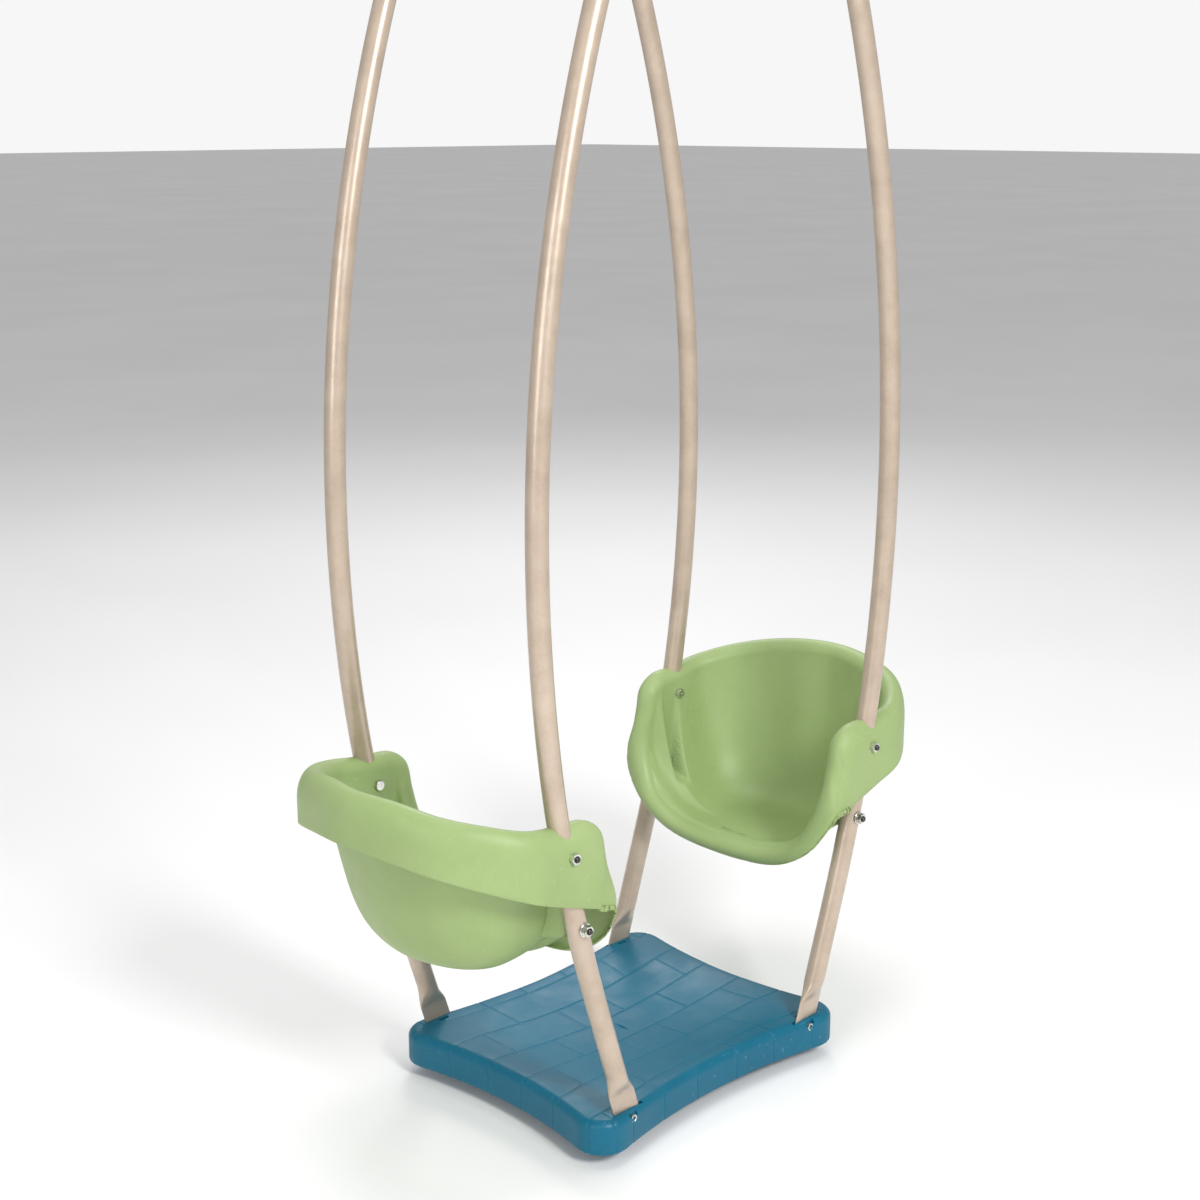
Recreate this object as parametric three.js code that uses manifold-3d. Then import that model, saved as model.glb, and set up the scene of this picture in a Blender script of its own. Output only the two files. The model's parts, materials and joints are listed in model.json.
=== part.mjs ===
// Face-to-face glider swing: two bucket seats and a foot plate between two pairs of bowed tubes,
// hung from two eye bolts that go up through a beam.
// Millimetres, +Z up. The origin is on the underside of the beam, half way between the eye bolts.
// X runs from seat to seat, which is the way it swings. Y runs along the beam.
import * as THREE from "three";
import { mergeVertices } from "three/addons/utils/BufferGeometryUtils.js";
import Module from "manifold-3d";

const wasm = await Module();
wasm.setup();

// ---------- driving dimensions ----------

// Tubes. Heights named "Up" are above the top of the foot plate at its corners.
const tubeRadius = 14;
const tubeWall = 1.5;
const tubeSides = 12;
const trackHalf = 186; // middle plane to each pair of tubes
const footHalf = 184.8; // middle to a tube's foot
const legSlope = 0.326; // sideways run of the straight leg for each unit of height
const legTopUp = 167; // where the straight leg ends and the bow starts
const bowRadius = 1929;
const bowSteps = 16;
const flatWidth = 43; // pressed ends of a tube
const flatThickness = 3.2;
const flatFootUp = 8; // the pressed foot reaches this high
const footDepth = 28; // and this deep into the foot plate
const pressLength = 50; // round to pressed
const flatTopLength = 27; // pressed length each side of the apex bolt
const eyeMargin = 21; // tube beyond the apex bolt

// Foot plate
const plateHalfLength = 245;
const plateHalfWidth = trackHalf + 17;
const plateWaistLength = 226; // half length at the waist
const plateWaistWidth = trackHalf - 6; // half width at the waist
const plateCorner = 38;
const plateDepth = 47;
const plateFillet = 12;
const plateFootFillet = 4;
const plateWall = 4;
const plateDish = 15; // how far the middle lies below the corners
const slotClearance = 0.6;
const windowOffset = 13; // slot to each bolt window
const windowLength = 20;
const windowWidth = 6;
const drainRadius = 5;

// Seats
const seatWall = 4;
const upperBoltUp = 382;
const lowerBoltUp = upperBoltUp - 101;
const channelClearance = 0.5; // round the tube, between the cheek and the skirt
const holeClearance = 2.3; // round the tube, where it enters the rolled rim
const panDrop = 168; // pan below the upper bolt
const lipDrop = 180; // middle of the front lip below the upper bolt
const panRear = 50; // reach of the flat pan behind its middle, before it and to each side
const panFront = 62;
const panHalfWidth = 67;
const wallDraft = 0.12;
const seatColumns = 52;
const bossRadius = 17;
const padRadius = 12;
const padThickness = 6;
const headPocketRadius = 11;
const entryRise = 2; // the tube's hole in the rim starts this far above the upper bolt
const entryLength = 90;

// Fasteners: shank radius, hexagon across flats, head and nut thickness
const seatScrew = { shank: 4, flats: 13, head: 5.5, nut: 6.5 };
const plateScrew = { shank: 3, flats: 10, head: 4, nut: 5 };
const apexScrew = { shank: 5, flats: 16, head: 6.5, nut: 8 };
const beamNut = { shank: 6, flats: 19, nut: 10 };
const boltClearance = 0.3;
const touch = 0.3; // gap between faces that bear on each other
const threadProud = 2.5; // bolt end beyond its nut
const washerThickness = 1.6;
const washerRadius = 9;

// Hangers
const hangerDrop = 45; // beam to the swing's axis
const eyeRadius = 20;
const eyeThickness = 14;
const bushRadius = 10;
const bushFlangeRadius = 14;
const bushFlange = 1.5;
const sleeveRadius = 7;
const runningGap = 0.35;
const beamThickness = 90;
const beamWasherRadius = 18.5;
const beamWasherThickness = 3;
const shankProud = 9; // shank beyond the upper beam nut

// ---------- values that follow ----------

const legLean = Math.atan(legSlope);
const bowCentreX = footHalf + legSlope * legTopUp - bowRadius * Math.cos(legLean);
const bowCentreUp = legTopUp + bowRadius * Math.sin(legLean);
const apexAngle = Math.acos(-bowCentreX / bowRadius);
const apexUp = bowCentreUp + bowRadius * Math.sin(apexAngle);
const legLength = (legTopUp + footDepth) / Math.cos(legLean);
const bowLength = bowRadius * (apexAngle + legLean);
const sleeveLength = eyeThickness + 2 * (bushFlange + runningGap) + 2 * touch;
const topFlatOffset = sleeveLength / 2 + touch + flatThickness / 2;
const rimHalf = tubeRadius + channelClearance + seatWall; // half width of the rolled rim
const footBoltUp = -11;

// ---------- solids ----------

function toSolid(geometry) {
  const bare = geometry.index ? geometry.toNonIndexed() : geometry.clone();
  bare.deleteAttribute("normal");
  bare.deleteAttribute("uv");
  const merged = mergeVertices(bare, 1e-3);
  const triVerts = new Uint32Array(merged.index.array);
  const mesh = new wasm.Mesh({
    numProp: 3,
    vertProperties: merged.attributes.position.array,
    triVerts,
  });
  const made = new wasm.Manifold(mesh);
  if (made.volume() > 0) return made;
  for (let i = 0; i < triVerts.length; i += 3) {
    [triVerts[i + 1], triVerts[i + 2]] = [triVerts[i + 2], triVerts[i + 1]];
  }
  mesh.triVerts = triVerts;
  return new wasm.Manifold(mesh);
}

function toGeometry(solid) {
  const mesh = solid.getMesh();
  const geometry = new THREE.BufferGeometry();
  geometry.setAttribute("position", new THREE.BufferAttribute(mesh.vertProperties, 3));
  geometry.setIndex(new THREE.BufferAttribute(mesh.triVerts, 1));
  const faceted = geometry.toNonIndexed();
  faceted.computeVertexNormals();
  return faceted;
}

// A closed skin over rings of points, each end drawn together at its own pole.
function loft(rings, startPole, endPole) {
  const count = rings[0].length;
  const points = [startPole, ...rings.flat(), endPole];
  const last = points.length - 1;
  const index = [];
  for (let k = 0; k < count; k++) {
    const next = (k + 1) % count;
    index.push(0, 1 + next, 1 + k);
    index.push(last, last - count + k, last - count + next);
    for (let r = 0; r + 1 < rings.length; r++) {
      const a = 1 + r * count + k;
      const b = 1 + r * count + next;
      index.push(a, b, a + count);
      index.push(b, b + count, a + count);
    }
  }
  const geometry = new THREE.BufferGeometry();
  const values = new Float32Array(points.flatMap((p) => p.toArray()));
  geometry.setAttribute("position", new THREE.BufferAttribute(values, 3));
  geometry.setIndex(index);
  return toSolid(geometry);
}

function middleOf(ring) {
  const sum = new THREE.Vector3();
  for (const p of ring) sum.add(p);
  return sum.divideScalar(ring.length);
}

// A cylinder along Y from y = from to y = to, centred on (x, z).
function rodY(radius, x, z, from, to, sides = 16) {
  const geometry = new THREE.CylinderGeometry(radius, radius, Math.abs(to - from), sides);
  geometry.translate(x, (from + to) / 2, z);
  return toSolid(geometry);
}

function rodZ(radius, x, y, from, to, sides = 16) {
  const geometry = new THREE.CylinderGeometry(radius, radius, to - from, sides);
  geometry.rotateX(Math.PI / 2);
  geometry.translate(x, y, (from + to) / 2);
  return toSolid(geometry);
}

function box(lowX, highX, lowY, highY, lowZ, highZ) {
  const geometry = new THREE.BoxGeometry(highX - lowX, highY - lowY, highZ - lowZ);
  geometry.translate((lowX + highX) / 2, (lowY + highY) / 2, (lowZ + highZ) / 2);
  return toSolid(geometry);
}

// ---------- tubes ----------

// A point on the tube's middle line and the way it runs there, at a distance from the foot end.
function tubeAxis(distance) {
  if (distance < legLength) {
    const up = distance * Math.cos(legLean) - footDepth;
    return { x: footHalf + legSlope * up, z: up, angle: -legLean };
  }
  const angle = (distance - legLength) / bowRadius - legLean;
  return {
    x: bowCentreX + bowRadius * Math.cos(angle),
    z: bowCentreUp + bowRadius * Math.sin(angle),
    angle,
  };
}

function tubeX(up) {
  if (up < legTopUp) return footHalf + legSlope * up;
  return bowCentreX + Math.sqrt(bowRadius ** 2 - (up - bowCentreUp) ** 2);
}

// The distance along the tube at which its middle line reaches a height.
function tubeDistance(up) {
  if (up < legTopUp) return (up + footDepth) / Math.cos(legLean);
  return legLength + bowRadius * (Math.asin((up - bowCentreUp) / bowRadius) + legLean);
}

const footFlatEnd = (flatFootUp + footDepth) / Math.cos(legLean);
const topFlatStart = legLength + bowLength - flatTopLength;
const tubeEnd = legLength + bowLength + eyeMargin;

// How far the section is pressed: 0 is round, 1 is flat.
function pressed(distance) {
  const ease = (t) => THREE.MathUtils.smoothstep(t, 0, 1);
  if (distance < legLength) return 1 - ease((distance - footFlatEnd) / pressLength);
  return ease((distance - topFlatStart + pressLength) / pressLength);
}

// One ring of the tube's skin, with its sides touching the true circle from outside. grow makes
// it larger. The pressed top is pushed to its own side of the hanger.
function tubeRing(distance, grow, end, side) {
  const { x, z, angle } = tubeAxis(distance);
  const press = pressed(distance);
  const lerp = THREE.MathUtils.lerp;
  const round = (tubeRadius + grow) / Math.cos(Math.PI / tubeSides);
  const wide = lerp(round, flatWidth / 2 + grow, press);
  const thick = lerp(round, flatThickness / 2 + grow, press);
  const corner = lerp(1, 0.45, press);
  const shift = distance > legLength ? press * topFlatOffset * end * side : 0;
  const ring = [];
  for (let k = 0; k < tubeSides; k++) {
    const turn = ((k + 0.5) / tubeSides) * 2 * Math.PI;
    const c = Math.cos(turn);
    const s = Math.sin(turn);
    const across = wide * Math.sign(c) * Math.abs(c) ** corner;
    const y = side * trackHalf + shift + thick * Math.sign(s) * Math.abs(s) ** corner;
    const out = x + across * Math.cos(angle);
    ring.push(new THREE.Vector3(end * out, y, z + across * Math.sin(angle)));
  }
  return ring;
}

function tubeSkin(distances, grow, end, side) {
  const rings = distances.map((d) => tubeRing(d, grow, end, side));
  return loft(rings, middleOf(rings[0]), middleOf(rings[rings.length - 1]));
}

function steps(from, to, count) {
  return Array.from({ length: count + 1 }, (_, i) => from + ((to - from) * i) / count);
}

function makeTube(end, side) {
  const pressEnd = footFlatEnd + pressLength;
  const topPress = topFlatStart - pressLength;
  const outside = [
    0,
    ...steps(footFlatEnd, pressEnd, 5),
    ...steps(legLength, topPress, bowSteps),
    ...steps(topPress + pressLength / 5, topFlatStart, 4),
    tubeEnd,
  ];
  const inside = [pressEnd, ...steps(legLength, topPress, bowSteps)];
  let solid = tubeSkin(outside, 0, end, side);
  solid = solid.subtract(tubeSkin(inside, -tubeWall, end, side));
  const y = side * trackHalf;
  const hole = (screw, up) => {
    const x = end * tubeX(up);
    return rodY(screw.shank + boltClearance, x, up, y - 2 * tubeRadius, y + 2 * tubeRadius);
  };
  return solid
    .subtract(hole(seatScrew, upperBoltUp))
    .subtract(hole(seatScrew, lowerBoltUp))
    .subtract(hole(plateScrew, footBoltUp))
    .subtract(rodY(apexScrew.shank + boltClearance, 0, apexUp, y - 20, y + 20));
}

// ---------- seats ----------

// Points in seat space: behind the upper bolt, share of the half track, above the upper bolt.
// Both lines run from the middle of the back, along one side and down to the middle of the lip.
const rimLine = [
  [171, 0, 78],
  [160, 0.323, 76],
  [140, 0.645, 66.5],
  [105, 0.86, 56.5],
  [60, 1, 45],
  [8, 1, 37.5],
  [-36, 1, 34],
  [-60, 1, 17],
  [-70, 1, -22],
  [-82, 1, -64],
  [-90, 0.94, -105],
  [-96, 0.8, -143],
  [-98, 0.52, -170],
  [-98, 0, -lipDrop],
];
// The free edge: the last value is how far it stands outside the rim line.
const edgeLine = [
  [188, 0, 12, 0],
  [180, 0.34, 9, 0],
  [159, 0.67, -1, 3],
  [112, 0.885, -21, 12],
  [62, 1, -41, rimHalf],
  [14, 1, -59, rimHalf],
  [-22, 1, -71, rimHalf],
  [-40, 1, -77, rimHalf],
  [-56, 1, -82, rimHalf - 1],
  [-73, 1, -87, rimHalf - 3],
  [-83, 0.95, -108, rimHalf - 4],
  [-88, 0.81, -146, 12],
  [-90, 0.54, -178, 8],
  [-90, 0, -190, 0],
];
const panMiddle = new THREE.Vector3(4, 0, -panDrop);
const lipRise = 11;
const crestDrop = 36; // the skirt leans out over this height below the crest
const cheekPull = 12; // how far the cheek runs straight back from its front edge

function seatLoop(line) {
  const half = line.map(([back, share, up, out = 0]) => {
    return new THREE.Vector3(back, share * trackHalf + out, up);
  });
  const mirrored = half.slice(1, -1).reverse();
  const other = mirrored.map((p) => new THREE.Vector3(p.x, -p.y, p.z));
  return new THREE.CatmullRomCurve3([...half, ...other], true, "centripetal");
}

const rimCurve = seatLoop(rimLine);
const edgeCurve = seatLoop(edgeLine);

// The rim's own directions: along it, outwards across it, and into the seat's wall.
function rimFrame(t) {
  const rim = rimCurve.getPoint(t);
  const along = rimCurve.getTangent(t);
  const half = t < 0.5 ? t : 1 - t;
  const frontStart = 6.5 / (2 * (rimLine.length - 1));
  const out = new THREE.Vector3();
  if (half < frontStart) out.crossVectors(along, new THREE.Vector3(0, 0, 1));
  else out.crossVectors(new THREE.Vector3(1, 0, 0), along);
  out.normalize();
  const into = new THREE.Vector3().crossVectors(along, out).normalize();
  return { rim, along, out, into };
}

function plus(p, ...terms) {
  const sum = p.clone();
  for (const [direction, length] of terms) sum.addScaledVector(direction, length);
  return sum;
}

// One line across the seat's upper skin, from the pan up the wall, over the rim and down the skirt.
function seatSection(t) {
  const { rim, along, out, into } = rimFrame(t);
  const edge = edgeCurve.getPoint(t);
  const lip = THREE.MathUtils.smoothstep(-rim.z, 105, lipDrop);
  const rise = THREE.MathUtils.lerp(rimHalf, lipRise, lip);
  const shoulder = plus(rim, [out, -rise], [into, rimHalf]);
  const theta = Math.atan2(rim.y, rim.x - panMiddle.x);
  const panLength = rim.x > panMiddle.x ? panRear : panFront;
  const base = plus(panMiddle, [
    new THREE.Vector3(panLength * Math.cos(theta), panHalfWidth * Math.sin(theta), 0),
    1,
  ]);
  const front = (1 - Math.cos(theta)) / 2;
  const reach = shoulder.distanceTo(base);
  const level = new THREE.Vector3(shoulder.x - base.x, shoulder.y - base.y, 0);
  const width = level.length();
  level.normalize();
  const down = new THREE.Vector3(0, 0, -1).projectOnPlane(out);
  const drop = THREE.MathUtils.lerp(0.79, 0.49, front) * reach;
  const back = cheekPull * Math.max(into.x, 0);
  const wall = new THREE.CubicBezierCurve3(
    base,
    plus(base, [level, Math.min(THREE.MathUtils.lerp(0.36, 0.11, front) * reach, 0.6 * width)]),
    plus(shoulder, [down, drop], [into, back], [out, -wallDraft * drop * down.length()]),
    shoulder,
  );
  const toEdge = edge.clone().sub(rim);
  const edgeOut = toEdge.dot(out);
  const edgeIn = toEdge.dot(into);
  const turn = Math.min(crestDrop, edgeIn);
  const slide = (toEdge.dot(along) * turn) / (edgeIn || 1);
  const half = Math.SQRT1_2;
  const points = [panMiddle.clone().lerp(base, 0.6)];
  for (const share of steps(0, 1, 4)) points.push(wall.getPoint(share));
  points.push(plus(rim, [out, -rise * half], [into, rimHalf * (1 - half)]));
  points.push(rim);
  points.push(plus(rim, [out, edgeOut * half], [into, turn * (1 - half)], [along, slide * 0.3]));
  points.push(plus(rim, [out, edgeOut], [into, turn], [along, slide]));
  points.push(edge);
  return points;
}

// Vertex normals of the open skin, from its neighbours along and across.
function offsetRows(rows, pole, thickness) {
  const count = rows[0].length;
  return rows.map((row, r) =>
    row.map((p, k) => {
      const inner = r > 0 ? rows[r - 1][k] : pole;
      const outer = r + 1 < rows.length ? rows[r + 1][k] : p;
      const across = outer.clone().sub(inner);
      const along = row[(k + 1) % count].clone().sub(row[(k + count - 1) % count]);
      const normal = across.cross(along).normalize();
      return plus(p, [normal, thickness]);
    }),
  );
}

// A ring with each point drawn half way to the middle of its neighbours, twice over.
function evened(row) {
  const count = row.length;
  let ring = row;
  for (let pass = 0; pass < 2; pass++) {
    ring = ring.map((p, k) => {
      const neighbours = ring[(k + 1) % count].clone().lerp(ring[(k + count - 1) % count], 0.5);
      return neighbours.lerp(p, 0.5);
    });
  }
  return ring;
}

function seatRows() {
  const sections = [];
  for (let k = 0; k < seatColumns; k++) sections.push(seatSection(k / seatColumns));
  const rows = sections[0].map((_, r) => sections.map((section) => section[r]));
  const isWall = (r) => r >= 2 && r <= 4;
  return rows.map((row, r) => (isWall(r) ? evened(row) : row));
}

// Seat space to the swing.
function placePoint(p) {
  return new THREE.Vector3(tubeX(upperBoltUp) + p.x, p.y, upperBoltUp + p.z);
}

function placeSeat(rows) {
  return rows.map((row) => row.map(placePoint));
}

// The seat on the +X side. The other one is the same seat turned half way round.
function makeSeat() {
  const upper = seatRows();
  const lower = offsetRows(upper, panMiddle, -seatWall);
  const lowerPole = plus(panMiddle, [new THREE.Vector3(0, 0, 1), -seatWall]);
  const skin = placeSeat([...upper, ...lower.reverse()]);
  let solid = loft(skin, placePoint(panMiddle), placePoint(lowerPole));

  // The inside of the bucket, out to the middle of its wall: the bosses stop there.
  const middle = offsetRows(upper, panMiddle, -seatWall / 2);
  const hollowRows = placeSeat(middle.slice(0, upper.length - 5));
  const lid = new THREE.Vector3(panMiddle.x, 0, 20);
  const hollow = loft(hollowRows, placePoint(panMiddle), placePoint(lid));

  const lowX = tubeX(lowerBoltUp);
  const highX = tubeX(upperBoltUp);
  const face = trackHalf - tubeRadius - touch;
  const skirt = trackHalf + 2 * rimHalf;
  for (const side of [-1, 1]) {
    const rod = (radius, x, up, from, to, sides) => {
      return rodY(radius, x, up, side * from, side * to, sides);
    };
    const boss = rod(bossRadius, lowX, lowerBoltUp, panHalfWidth, face, 24);
    solid = solid.add(boss.subtract(hollow));
    solid = solid.add(rod(padRadius, highX, upperBoltUp, face - padThickness, face, 20));
    const seatFace = face - padThickness;
    for (const [x, up] of [
      [lowX, lowerBoltUp],
      [highX, upperBoltUp],
    ]) {
      solid = solid.subtract(rod(headPocketRadius, x, up, panHalfWidth, seatFace, 20));
    }
    const hole = seatScrew.shank + boltClearance;
    solid = solid.subtract(rod(hole, lowX, lowerBoltUp, panHalfWidth, face + 1));
    solid = solid.subtract(rod(hole, highX, upperBoltUp, panHalfWidth, skirt));
    const entryStart = tubeDistance(upperBoltUp + entryRise);
    const entry = steps(entryStart, entryStart + entryLength, 2);
    solid = solid.subtract(tubeSkin(entry, holeClearance, 1, side));
  }
  return solid;
}

// ---------- foot plate ----------

// The plate's outline: four round corners joined by hollow arcs, drawn in by inset.
function plateOutline(inset) {
  const length = plateHalfLength - inset;
  const width = plateHalfWidth - inset;
  const corner = plateCorner - inset;
  const cornerX = length - corner;
  const cornerY = width - corner;
  const hollow = (waist, reach, offset) => {
    const gap = waist - inset - offset;
    return (reach ** 2 + gap ** 2 - corner ** 2) / (2 * (corner - gap));
  };
  const endRadius = hollow(plateWaistLength, cornerY, cornerX);
  const sideRadius = hollow(plateWaistWidth, cornerX, cornerY);
  const endCentre = plateWaistLength - inset + endRadius;
  const sideCentre = plateWaistWidth - inset + sideRadius;
  const endTurn = Math.atan2(cornerY, endCentre - cornerX);
  const sideTurn = Math.atan2(cornerX, sideCentre - cornerY);
  const quarter = [];
  for (const share of steps(0, 1, 3)) {
    const a = endTurn * share;
    quarter.push([endCentre - endRadius * Math.cos(a), endRadius * Math.sin(a)]);
  }
  for (const share of steps(0, 1, 5).slice(1)) {
    const a = THREE.MathUtils.lerp(-endTurn, Math.PI / 2 + sideTurn, share);
    quarter.push([cornerX + corner * Math.cos(a), cornerY + corner * Math.sin(a)]);
  }
  for (const share of steps(1, 0, 3).slice(1)) {
    const a = sideTurn * share;
    quarter.push([sideRadius * Math.sin(a), sideCentre - sideRadius * Math.cos(a)]);
  }
  const open = quarter.slice(1, -1);
  const flip = (list, x, y) => list.map(([px, py]) => [x * px, y * py]);
  return [
    quarter[0],
    ...open,
    quarter[quarter.length - 1],
    ...flip(open, -1, 1).reverse(),
    ...flip([quarter[0]], -1, 1),
    ...flip(open, -1, -1),
    ...flip([quarter[quarter.length - 1]], 1, -1),
    ...flip(open, 1, -1).reverse(),
  ];
}

function plateTop(x, y) {
  const reach = (x / plateWaistLength) ** 2 + (y / plateWaistWidth) ** 2;
  return -plateDish * Math.max(1 - reach, 0) ** 1.5;
}

function plateBody(inset, topFillet, footFillet) {
  const ring = (extra, level, share = 1) => {
    return plateOutline(inset + extra).map(([x, y]) => {
      return new THREE.Vector3(x * share, y * share, level(x * share, y * share));
    });
  };
  const top = (drop) => (x, y) => plateTop(x, y) - inset - drop;
  const floor = inset - plateDepth;
  const half = Math.SQRT1_2;
  const rings = [
    ...[0.35, 0.7, 0.9].map((share) => ring(topFillet, top(0), share)),
    ring(topFillet, top(0)),
    ring(topFillet * (1 - half), top(topFillet * (1 - half))),
    ring(0, top(topFillet)),
    ring(0, () => floor + footFillet),
    ring(footFillet, () => floor),
  ];
  const middleTop = new THREE.Vector3(0, 0, plateTop(0, 0) - inset);
  return loft(rings, middleTop, new THREE.Vector3(0, 0, floor));
}

function makeFootPlate() {
  let inside = plateBody(plateWall, plateFillet - plateWall, 1);
  const tools = [rodZ(drainRadius, 0, 0, -plateDepth - 1, -plateDepth + plateWall + 1)];
  const high = 1;
  const leanRise = (flatWidth / 2) * Math.sin(legLean);
  const leanReach = (flatWidth / 2) * Math.cos(legLean);
  const slotFloor = -footDepth - leanRise - 1;
  const slotNear = tubeX(-footDepth) - leanReach - slotClearance;
  const slotFar = tubeX(leanRise) + leanReach + slotClearance;
  for (const end of [-1, 1]) {
    for (const side of [-1, 1]) {
      const near = end > 0 ? slotNear : -slotFar;
      const far = end > 0 ? slotFar : -slotNear;
      const boltX = end * tubeX(footBoltUp);
      const y = side * trackHalf;
      const socket = windowOffset + windowWidth / 2 + plateWall;
      const low = footBoltUp - plateScrew.flats * 0.7;
      inside = inside.subtract(
        box(near - plateWall, far + plateWall, y - socket, y + socket, -plateDepth, high),
      );
      const slot = flatThickness / 2 + slotClearance;
      tools.push(box(near, far, y - slot, y + slot, slotFloor, high));
      for (const offset of [-windowOffset, windowOffset]) {
        const middle = y + offset;
        tools.push(
          box(
            boltX - windowLength / 2,
            boltX + windowLength / 2,
            middle - windowWidth / 2,
            middle + windowWidth / 2,
            low,
            high,
          ),
        );
      }
      const hole = plateScrew.shank + boltClearance;
      tools.push(rodY(hole, boltX, footBoltUp, y - windowOffset, y + windowOffset));
    }
  }
  let solid = plateBody(0, plateFillet, plateFootFillet).subtract(inside);
  for (const tool of tools) solid = solid.subtract(tool);
  return solid;
}

// ---------- fasteners ----------

function hexagon(flats) {
  const shape = new THREE.Shape();
  for (let k = 0; k < 6; k++) {
    const a = (k * Math.PI) / 3;
    const radius = flats / Math.sqrt(3);
    if (k === 0) shape.moveTo(radius, 0);
    else shape.lineTo(radius * Math.cos(a), radius * Math.sin(a));
  }
  shape.closePath();
  return shape;
}

function ringShape(shape, bore) {
  const hole = new THREE.Path();
  hole.absarc(0, 0, bore, 0, 2 * Math.PI, true);
  shape.holes.push(hole);
  return shape;
}

function disc(radius) {
  const shape = new THREE.Shape();
  shape.absarc(0, 0, radius, 0, 2 * Math.PI, false);
  return shape;
}

// A shape drawn across Y and stood from y = from to y = to.
function plateY(shape, x, z, from, to) {
  const depth = Math.abs(to - from);
  const geometry = new THREE.ExtrudeGeometry(shape, {
    depth,
    bevelEnabled: false,
    curveSegments: 6,
  });
  geometry.rotateX(Math.PI / 2);
  geometry.translate(x, Math.max(from, to), z);
  return toSolid(geometry);
}

function plateZ(shape, y, from, to) {
  const geometry = new THREE.ExtrudeGeometry(shape, {
    depth: to - from,
    bevelEnabled: false,
    curveSegments: 6,
  });
  geometry.translate(0, y, from);
  return toSolid(geometry);
}

// A hexagon bolt along Y: its head bears at seat and its shank runs out to tip.
function boltY(screw, x, z, seat, tip) {
  const back = seat - Math.sign(tip - seat) * screw.head;
  const head = plateY(hexagon(screw.flats), x, z, back, seat);
  const overlap = (back + seat) / 2;
  return head.add(rodY(screw.shank, x, z, overlap, tip, 12));
}

function nutY(screw, x, z, seat, side) {
  const shape = ringShape(hexagon(screw.flats), screw.shank + boltClearance);
  return plateY(shape, x, z, seat, seat + side * screw.nut);
}

// ---------- assembly ----------

const finish = {
  tube: new THREE.MeshStandardMaterial({ color: 0xc6b29a, roughness: 0.42, metalness: 0.1 }),
  seat: new THREE.MeshStandardMaterial({ color: 0xa3bf7a, roughness: 0.5, metalness: 0 }),
  plate: new THREE.MeshStandardMaterial({ color: 0x12627f, roughness: 0.45, metalness: 0 }),
  zinc: new THREE.MeshStandardMaterial({ color: 0xc9ccce, roughness: 0.3, metalness: 1 }),
  nylon: new THREE.MeshStandardMaterial({ color: 0x2a2b2d, roughness: 0.55, metalness: 0 }),
};

const swing = new THREE.Group();
const hangers = new THREE.Group();
swing.position.z = -hangerDrop - apexUp;

function piece(group, name, solid, material) {
  const mesh = new THREE.Mesh(toGeometry(solid), material);
  mesh.name = name;
  group.add(mesh);
  return mesh;
}

function addSeatBolts(end, side, tag) {
  const face = trackHalf - tubeRadius - touch;
  const headSeat = face - padThickness - touch;
  const places = [
    ["upper", upperBoltUp, trackHalf + rimHalf + touch, false],
    ["lower", lowerBoltUp, trackHalf + tubeRadius + touch, true],
  ];
  for (const [level, up, bearing, washered] of places) {
    const x = end * tubeX(up);
    const nutSeat = bearing + (washered ? washerThickness + touch : 0);
    const tip = nutSeat + seatScrew.nut + threadProud;
    const bolt = boltY(seatScrew, x, up, side * headSeat, side * tip);
    piece(swing, `${level}_bolt_${tag}`, bolt, finish.zinc);
    const nut = nutY(seatScrew, x, up, side * nutSeat, side);
    piece(swing, `${level}_nut_${tag}`, nut, finish.zinc);
    if (washered) {
      const shape = ringShape(disc(washerRadius), seatScrew.shank + boltClearance);
      const from = side * bearing;
      const washer = plateY(shape, x, up, from, from + side * washerThickness);
      piece(swing, `${level}_washer_${tag}`, washer, finish.zinc);
    }
  }
}

function addPlateBolt(end, side, tag) {
  const x = end * tubeX(footBoltUp);
  const y = side * trackHalf;
  const seat = windowOffset - windowWidth / 2 + touch;
  const tip = y + side * (seat + plateScrew.nut + touch);
  const bolt = boltY(plateScrew, x, footBoltUp, y - side * seat, tip);
  piece(swing, `plate_bolt_${tag}`, bolt, finish.zinc);
  const nut = nutY(plateScrew, x, footBoltUp, y + side * seat, side);
  piece(swing, `plate_nut_${tag}`, nut, finish.zinc);
}

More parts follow.
